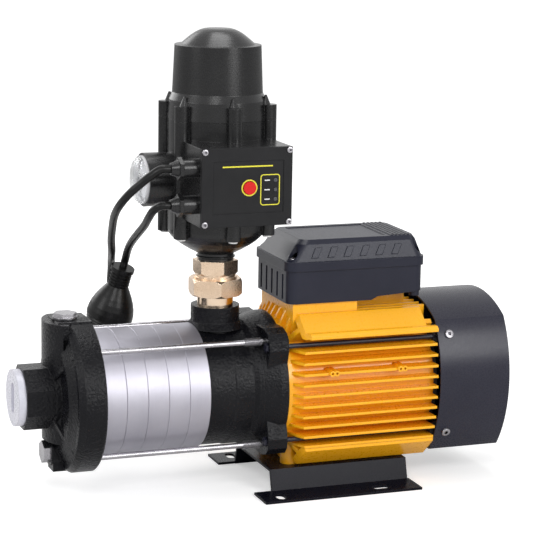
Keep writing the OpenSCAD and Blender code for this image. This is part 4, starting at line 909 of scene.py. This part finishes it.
@dataclass
class Cords:
    """The motor's cord and the mains cord, whose plug is on it."""

    diameter: float = 7.8
    mains: list[Point] = field(default_factory=lambda: [
        (-115, -72, 295.4), (-123, -72, 295.4), (-128, -65, 291), (-128.5, -50, 281.5),
        (-126, -28, 270), (-122.5, 4, 256.5), (-119, 34, 244), (-116, 56, 234),
        (-113.8, 71, 225), (-113.1, 80, 215.3), (-114.6, 82, 207.7)])
    motor: list[Point] = field(default_factory=lambda: [
        (-115, -72, 329.8), (-124, -72, 329.8), (-134, -70.5, 323.5), (-143, -67, 315.5),
        (-151, -60, 306), (-155.5, -45, 293.5), (-154, -22, 280), (-148, 6, 264),
        (-141, 34, 246), (-133, 60, 230), (-123, 96, 213.5), (-119, 110, 202),
        (-116.5, 121, 187), (-114.5, 128, 168), (-112.5, 132, 147), (-107, 132, 125),
        (-94, 130, 106), (-72, 125, 95), (-43, 119, 92), (-14, 114, 97), (13, 110, 109),
        (36, 107, 126), (55, 105, 145), (70, 104, 165), (80, 102, 184), (85.5, 97, 197),
        (88, 88, 203.5), (88, 79, 204.5), (88, 71, 204.5)])

    def build(self) -> None:
        """Makes both cords."""
        on_mains = ("plug_body", "plug_pins")
        Cord("mains_cord", self.mains, self.diameter, "plug", on_mains).build()
        Cord("motor_cord", self.motor, self.diameter, "object").build()


@dataclass
class PumpEnd:
    """The thread turns on the four tie rods, beside the bracket's lugs."""

    rod_offset: float = 51.34
    start: float = -32.0
    thread: Thread = Thread(3.85, 1.25, 17.0, 0.35)

    def build(self) -> None:
        """Adds each rod's thread."""
        for side, depth in ((-1, "front"), (1, "back")):
            for up, level in ((-1, "low"), (1, "top")):
                place = metres((self.start, side * self.rod_offset,
                                SHAFT_HEIGHT + up * self.rod_offset))
                made = self.thread.make(f"rod_thread_{depth}_{level}", place, Axis.RIGHT.vector,
                                        BRIGHT_ZINC)
                ride(made, "pump", "zinc")


@dataclass
class SideOutlet:
    """The control's spare outlet at the back, with its pipe thread."""

    start: Point = (-44.6, 57.5, 309.3)
    thread: Thread = Thread(16.6, 2.31, 17.5, 0.55)

    def build(self) -> None:
        """Adds the thread."""
        made = self.thread.make("side_outlet_thread", metres(self.start), Axis.BACK.vector,
                                BLACK_PLASTIC)
        ride(made, "pump", "black_plastic")


@dataclass
class Fasteners:
    """The screws that show: on the control, the terminal box and the fan cover.

    The cap screws' shanks get their length from the seats of their heads.
    """

    panel_x: Span = (-86.5, -2.7)
    panel_z: Span = (278.2, 346.5)
    panel_y: float = -88.6
    panel_head: ScrewHead = ScrewHead(3.0, 1.5, 1.7, 16.6, Recess.HEX, 1.5, 3.4, crown=0.7)
    lid_x: Span = (22.0, 152.0)
    lid_y: float = 40.0
    lid_z: float = 227.8
    lid_head: ScrewHead = ScrewHead(4.0, 4.6, 1.9, 16.8, Recess.STAR, 2.3, 3.6, crown=0.9)
    cover: Point = (178.5, 68.38, 50.0)
    cover_tilt: float = math.radians(25.07)
    cover_head: ScrewHead = ScrewHead(4.5, 2.4, 2.5, 10.0, Recess.STAR, 2.3, 4.4, crown=0.9)
    control_x: float = -44.6
    pillar_reach: float = 51.0
    pillar_z: float = 254.5
    pillars: tuple[int, ...] = (0, 2, 3, 4, 5)
    back_pillar_z: float = 334.9
    back_pillar: int = 1
    cap_screw_top: float = 376.7
    cap_head: ScrewHead = ScrewHead(4.4, 2.0, 2.1, 0.0, Recess.HEX, 2.2, 1.1, crown=0.5)

    def build(self) -> None:
        """Makes the four sets of screws."""
        self.panel_screws()
        self.lid_screws()
        self.fan_cover_screws()
        self.cap_screws()

    def panel_screws(self) -> None:
        """The four hexagon socket screws of the control's cover."""
        places = [(x, self.panel_y, z) for x in self.panel_x for z in self.panel_z]
        pattern = Repeat("panel_screws", self.panel_head.mesh("panel_screw"), BRIGHT_ZINC)
        made = pattern.face(places, [Axis.FRONT.vector] * len(places))
        ride(made, "pump", "zinc", "cover_screws")

    def lid_screws(self) -> None:
        """The four screws of the terminal box's lid."""
        places = [(x, side * self.lid_y, self.lid_z) for x in self.lid_x for side in (-1, 1)]
        pattern = Repeat("box_lid_screws", self.lid_head.mesh("lid_screw"), BRIGHT_ZINC)
        made = pattern.face(places, [Axis.UP.vector] * len(places))
        ride(made, "pump", "zinc", "lid_screws")

    def fan_cover_screws(self) -> None:
        """The four screws of the fan cover, which follow its bowed sides."""
        x, reach, rise = self.cover
        across, along = math.cos(self.cover_tilt), math.sin(self.cover_tilt)
        corner = [(side, up) for side in (-1, 1) for up in (-1, 1)]
        places = [(x, side * reach, SHAFT_HEIGHT + up * rise) for side, up in corner]
        faces = [Vector((0.0, side * across, up * along)) for side, up in corner]
        pattern = Repeat("cover_side_screws", self.cover_head.mesh("cover_screw"), BRIGHT_ZINC)
        ride(pattern.face(places, faces), "pump", "zinc", "fan_cover_screws")

    def cap_screws(self) -> None:
        """The six long screws that hold the control's halves together from below."""
        parts = []
        for name, turns, seat in (("long", self.pillars, self.pillar_z),
                                  ("short", (self.back_pillar,), self.back_pillar_z)):
            head = replace(self.cap_head, shank_length=self.cap_screw_top - seat)
            angles = [math.radians(30 + 60 * k) for k in turns]
            places = [(self.control_x + self.pillar_reach * math.cos(a),
                       self.pillar_reach * math.sin(a), seat) for a in angles]
            pattern = Repeat(f"{name}_cap_screws", head.mesh(f"{name}_cap_screw"), BRIGHT_ZINC)
            parts.append(pattern.face(places, [Axis.DOWN.vector] * len(places)))
        ride(joined("control_screws", parts), "pump", "zinc", "cap_screws")


@dataclass
class Dial:
    """The gauge's dial: its ticks, its numbers from 0 to 10, the ring round it and its lens.

    The ticks' sizes are thickness, width and length.
    """

    centre: Point = (-117.7, 0.0, 309.3)
    radius: float = 20.6
    start: float = -135.0
    sweep: float = 270.0
    marks: int = 50
    fine_tick: Point = (0.1, 0.4, 1.8)
    long_tick: Point = (0.1, 0.8, 3.4)
    numbers: tuple[int, ...] = (0, 2, 4, 6, 8, 10)
    number_size: float = 4.4
    number_inset: float = 6.2
    print_t: float = 0.05
    ring: Span = (0.2, 0.9)
    ring_t: float = 0.1
    ring_sides: int = 72
    lens_seat: Point = (-122.2, 0.0, 309.3)
    lens_r: float = 23.1
    lens_rise: float = 8.5
    lens_t: float = 1.4
    lens_sides: int = 96
    lens_steps: int = 24

    def build(self) -> None:
        """Makes the printed dial, the ring round it and the domed lens."""
        every = self.marks // self.numbers[-1]
        fine = [k for k in range(self.marks + 1) if k % every]
        long = [k for k in range(self.marks + 1) if k % every == 0]
        for name, chosen, size in (("fine_ticks", fine, self.fine_tick),
                                   ("long_ticks", long, self.long_tick)):
            turns = [self.turn(k / self.marks) for k in chosen]
            places = [metres(self.at(turn, self.radius - size[2] / 2)) for turn in turns]
            pattern = Repeat(name, slab(name + "_bar", size), BLACK_INK)
            made = pattern.place(places, [Euler((turn, 0, 0)) for turn in turns])
            ride(made, "pump", "white_plastic")
        digits = [self.digit(value) for value in self.numbers]
        ride(joined("dial_numbers", digits), "pump", "white_plastic")
        radii = (self.radius + self.ring[0], self.radius + self.ring[1])
        ring = flat_ring(radii, self.ring_t, self.centre, Axis.LEFT.vector, self.ring_sides)
        ride(make_object("dial_ring", ring, BLACK_INK), "pump", "white_plastic")
        self.lens()

    def lens(self) -> None:
        """The clear dome over the dial, an even shell in place of the node's faceted one."""
        arc = [math.pi / 2 * k / self.lens_steps for k in range(self.lens_steps + 1)]
        inner_r, inner_rise = self.lens_r - self.lens_t, self.lens_rise - self.lens_t
        profile = [(self.lens_r * math.cos(t), self.lens_rise * math.sin(t)) for t in arc]
        profile += [(inner_r * math.cos(t), inner_rise * math.sin(t)) for t in reversed(arc)]
        dome = lathe(profile, metres(self.lens_seat), Axis.LEFT.vector, self.lens_sides)
        bmesh.ops.bridge_loops(dome, edges=[e for e in dome.edges if e.is_boundary])
        ride(make_object("gauge_dome", dome, CLEAR_LENS), "pump", "clear_lens", "gauge_lens")

    def turn(self, share: float) -> float:
        """The needle's turn from upright at a share of its sweep, in radians."""
        return math.radians(self.start + self.sweep * share)

    def at(self, turn: float, reach: float) -> Point:
        """A point just off the dial's face, in millimetres."""
        x, y, z = self.centre
        return (x - self.print_t, y - reach * math.sin(turn), z + reach * math.cos(turn))

    def digit(self, value: int) -> Piece:
        """One number on the dial.

        Args:
            value: The number.

        Returns:
            Its object, flat on the face and upright.
        """
        text = bpy.data.curves.new(f"dial_{value}", "FONT")
        text.body = str(value)
        text.size = self.number_size * MM
        text.extrude = self.print_t * MM
        text.align_x, text.align_y = "CENTER", "CENTER"
        carrier = linked(f"dial_{value}_text", text)
        mesh = evaluated_mesh(carrier)
        bpy.data.objects.remove(carrier)
        place = metres(self.at(self.turn(value / self.numbers[-1]),
                               self.radius - self.number_inset))
        upright = Matrix(((0, 0, -1, 0), (-1, 0, 0, 0), (0, 1, 0, 0), (0, 0, 0, 1)))
        mesh.transform(Matrix.Translation(place) @ upright)
        mesh.materials.clear()
        mesh.materials.append(BLACK_INK.material())
        return linked(f"dial_{value}", mesh)


@dataclass
class Panel:
    """The control's printed panel: the button's ring, the lamps' frame, a rule and dashes."""

    ink: float = 0.1
    button: Point = (-42.2, -87.8, 311.7)
    ring: Span = (6.6, 7.9)
    ring_t: float = 0.12
    lamps: Point = (-16.3, -87.8, 309.3)
    dash: Span = (5.2, 1.1)
    dash_shift: float = 8.2
    dash_pitch: float = 9.0
    frame: Point = (-21.6, -87.8, 309.3)
    frame_wide: float = 19.5
    frame_high: float = 29.5
    frame_line: float = 0.9
    frame_round: float = 3.0
    frame_corners: int = 24
    rule: Point = (-44.0, -87.85, 332.0)
    rule_size: Span = (50.0, 1.3)

    def build(self) -> None:
        """Makes the yellow ring, the frame, the rule and the white dashes."""
        ring = flat_ring(self.ring, self.ring_t, self.button, Axis.FRONT.vector)
        ride(make_object("button_ring", ring, YELLOW_INK), "pump", "yellow_paint")
        frame = make_object("lamp_frame", self.outline(), YELLOW_INK, smooth=False)
        ride(frame, "pump", "yellow_paint")
        wide, high = self.rule_size
        rule = Repeat("title_rule", slab("title_rule_bar", (wide, self.ink, high)), YELLOW_INK)
        ride(rule.place([metres(self.rule)], [Euler()]), "pump", "yellow_paint")
        wide, high = self.dash
        x, y, z = self.lamps
        places = [metres((x - self.dash_shift, y - self.ink / 2, z + k * self.dash_pitch))
                  for k in (-1, 0, 1)]
        dashes = Repeat("lamp_dashes", slab("lamp_dash", (wide, self.ink, high)), WHITE_INK)
        ride(dashes.place(places, [Euler()] * len(places)), "pump", "white_plastic")

    def outline(self) -> Shape:
        """The lamps' thin frame with round corners.

        Returns:
            The frame's shape in metres.
        """
        shape = bmesh.new()
        loops = [[shape.verts.new(metres(p)) for p in self.loop(inset, depth)]
                 for depth in (0.0, -self.ink) for inset in (0.0, self.frame_line)]
        for one, two in ((0, 1), (1, 3), (3, 2), (2, 0)):
            skin(shape, loops[one], loops[two])
        return shape

    def loop(self, inset: float, depth: float) -> list[Point]:
        """One closed line of the frame.

        Args:
            inset: How far inside the frame's outline it runs, in millimetres.
            depth: How far behind the panel's face it lies, in millimetres.

        Returns:
            Its points in millimetres.
        """
        x, y, z = self.frame
        half_w = self.frame_wide / 2 - self.frame_round
        half_h = self.frame_high / 2 - self.frame_round
        points = []
        for k in range(self.frame_corners):
            angle = 2 * math.pi * (k + 0.5) / self.frame_corners
            across, along = math.cos(angle), math.sin(angle)
            points.append((
                x + math.copysign(half_w, across) + (self.frame_round - inset) * across, y + depth,
                z + math.copysign(half_h, along) + (self.frame_round - inset) * along))
        return points


@dataclass(frozen=True)
class Lamp:
    """A soft square lamp: its place and side in metres, and its power in watts."""

    name: str
    place: Point
    size: float
    power: float

    def hang(self, aim: Point) -> None:
        """Hangs the lamp in its place.

        Args:
            aim: The point that it shines at, in metres.
        """
        data = bpy.data.lights.new(self.name, "AREA")
        data.shape = "SQUARE"
        data.size = self.size
        data.energy = self.power
        made = linked(self.name, data)
        made.location = self.place
        way = Vector(aim) - Vector(self.place)
        made.rotation_euler = way.to_track_quat("-Z", "Y").to_euler()


@dataclass
class Studio:
    """The camera, the lamps, the white floor and the world.

    right, up and back are the camera's axes. The floor glows towards the camera by fade_lift,
    which grows with the distance from the pump over fade_reach.
    """

    right: Point = (0.9372, -0.3482, 0.0164)
    up: Point = (0.0523, 0.1871, 0.9810)
    back: Point = (-0.3447, -0.9185, 0.1935)
    place: Point = (-0.7005, -1.8910, 0.6157)
    lens: float = 140.15
    sensor: float = 36.0
    far: float = 20.0
    aim: Point = (-0.03, 0.0, 0.18)
    lamps: tuple[Lamp, ...] = (
        Lamp("key", (0.80, -1.90, 0.95), 0.9, 20.5), Lamp("side", (-1.75, -0.35, 0.95), 0.7, 8.0),
        Lamp("front", (-0.75, -1.6, 1.3), 0.6, 11.0), Lamp("top", (0.1, 0.2, 1.7), 0.7, 8.0),
        Lamp("rear", (-0.6, 1.4, 0.9), 1.0, 7.0))
    world_light: float = 0.38
    floor_reach: float = 30.0
    floor_grey: float = 0.9
    fade_reach: Span = (0.35, 1.3)
    fade_lift: Span = (0.42, 0.75)

    def build(self) -> None:
        """Sets up the whole studio."""
        self.camera()
        self.world()
        self.floor()
        for lamp in self.lamps:
            lamp.hang(self.aim)

    def camera(self) -> None:
        """Places the camera where the photograph was taken from."""
        data = bpy.data.cameras.new("photo_camera")
        data.lens = self.lens
        data.sensor_width = self.sensor
        data.clip_end = self.far
        made = linked("photo_camera", data)
        turn = Matrix((self.right, self.up, self.back)).transposed()
        turn = turn.to_quaternion().to_matrix().to_4x4()
        made.matrix_world = Matrix.Translation(self.place) @ turn
        bpy.context.scene.camera = made

    def world(self) -> None:
        """Makes the world: white to the camera, in reflections and in glass, softer as a light."""
        world = bpy.data.worlds.new("studio")
        bpy.context.scene.world = world
        world.use_nodes = True
        tree = world.node_tree
        tree.nodes.clear()
        path = add_node(tree, "ShaderNodeLightPath").outputs
        seen = add_node(tree, "ShaderNodeMath", path["Is Camera Ray"], path["Is Glossy Ray"],
                        operation="MAXIMUM")
        shown = add_node(tree, "ShaderNodeMath", seen.outputs[0], path["Is Transmission Ray"],
                         operation="MAXIMUM")
        soft = add_node(tree, "ShaderNodeBackground", Color=WHITE, Strength=self.world_light)
        white = add_node(tree, "ShaderNodeBackground", Color=WHITE, Strength=1.0)
        mix = add_node(tree, "ShaderNodeMixShader", shown.outputs[0], soft.outputs[0],
                       white.outputs[0])
        add_node(tree, "ShaderNodeOutputWorld", Surface=mix.outputs[0])

    def floor(self) -> None:
        """Makes the white floor, which keeps the pump's shadow."""
        shape = bmesh.new()
        bmesh.ops.create_grid(shape, x_segments=4, y_segments=4, size=self.floor_reach)
        mesh = as_mesh("studio_floor", shape)
        paint = bpy.data.materials.new("floor_white")
        paint.use_nodes = True
        tree = paint.node_tree
        tree.nodes.clear()
        grey = (self.floor_grey, self.floor_grey, self.floor_grey, 1.0)
        matte = add_node(tree, "ShaderNodeBsdfDiffuse", Color=grey)
        where = add_node(tree, "ShaderNodeTexCoord")
        reach = add_node(tree, "ShaderNodeVectorMath", where.outputs["Object"], operation="LENGTH")
        fade = ranged(tree, reach.outputs["Value"], self.fade_reach, self.fade_lift)
        path = add_node(tree, "ShaderNodeLightPath")
        lift = add_node(tree, "ShaderNodeMath", path.outputs["Is Camera Ray"], fade,
                        operation="MULTIPLY")
        glow = add_node(tree, "ShaderNodeEmission", Color=WHITE, Strength=lift.outputs[0])
        both = add_node(tree, "ShaderNodeAddShader", matte.outputs[0], glow.outputs[0])
        add_node(tree, "ShaderNodeOutputMaterial", Surface=both.outputs[0])
        mesh.materials.append(paint)
        linked("studio_floor", mesh)


class PackedPieces:
    """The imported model's own pieces, which get their finishes here."""

    def dress(self) -> None:
        """Gives every node the material of its finish."""
        for name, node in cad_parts.items():
            finish = NODE_FINISHES[name]
            if not node.material_slots:
                node.data.materials.append(None)
            for slot in node.material_slots:
                slot.material = finish.material()
            log.info("finish %s on %s", finish.name, name)


def main() -> None:
    """Builds the scene in order."""
    logging.basicConfig(level=logging.INFO, format="%(name)s: %(message)s")
    bpy.context.scene.view_settings.view_transform = "Standard"
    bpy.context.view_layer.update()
    Studio().build()
    PackedPieces().dress()
    for part in (Cords(), PumpEnd(), SideOutlet(), Fasteners(), Dial(), Panel()):
        part.build()


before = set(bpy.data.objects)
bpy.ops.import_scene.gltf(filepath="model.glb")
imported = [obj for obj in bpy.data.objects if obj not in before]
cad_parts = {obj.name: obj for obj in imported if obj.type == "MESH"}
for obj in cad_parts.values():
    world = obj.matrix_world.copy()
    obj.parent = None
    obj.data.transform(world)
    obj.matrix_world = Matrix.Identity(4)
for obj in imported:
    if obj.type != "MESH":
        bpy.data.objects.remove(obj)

if __name__ == "__main__":
    main()
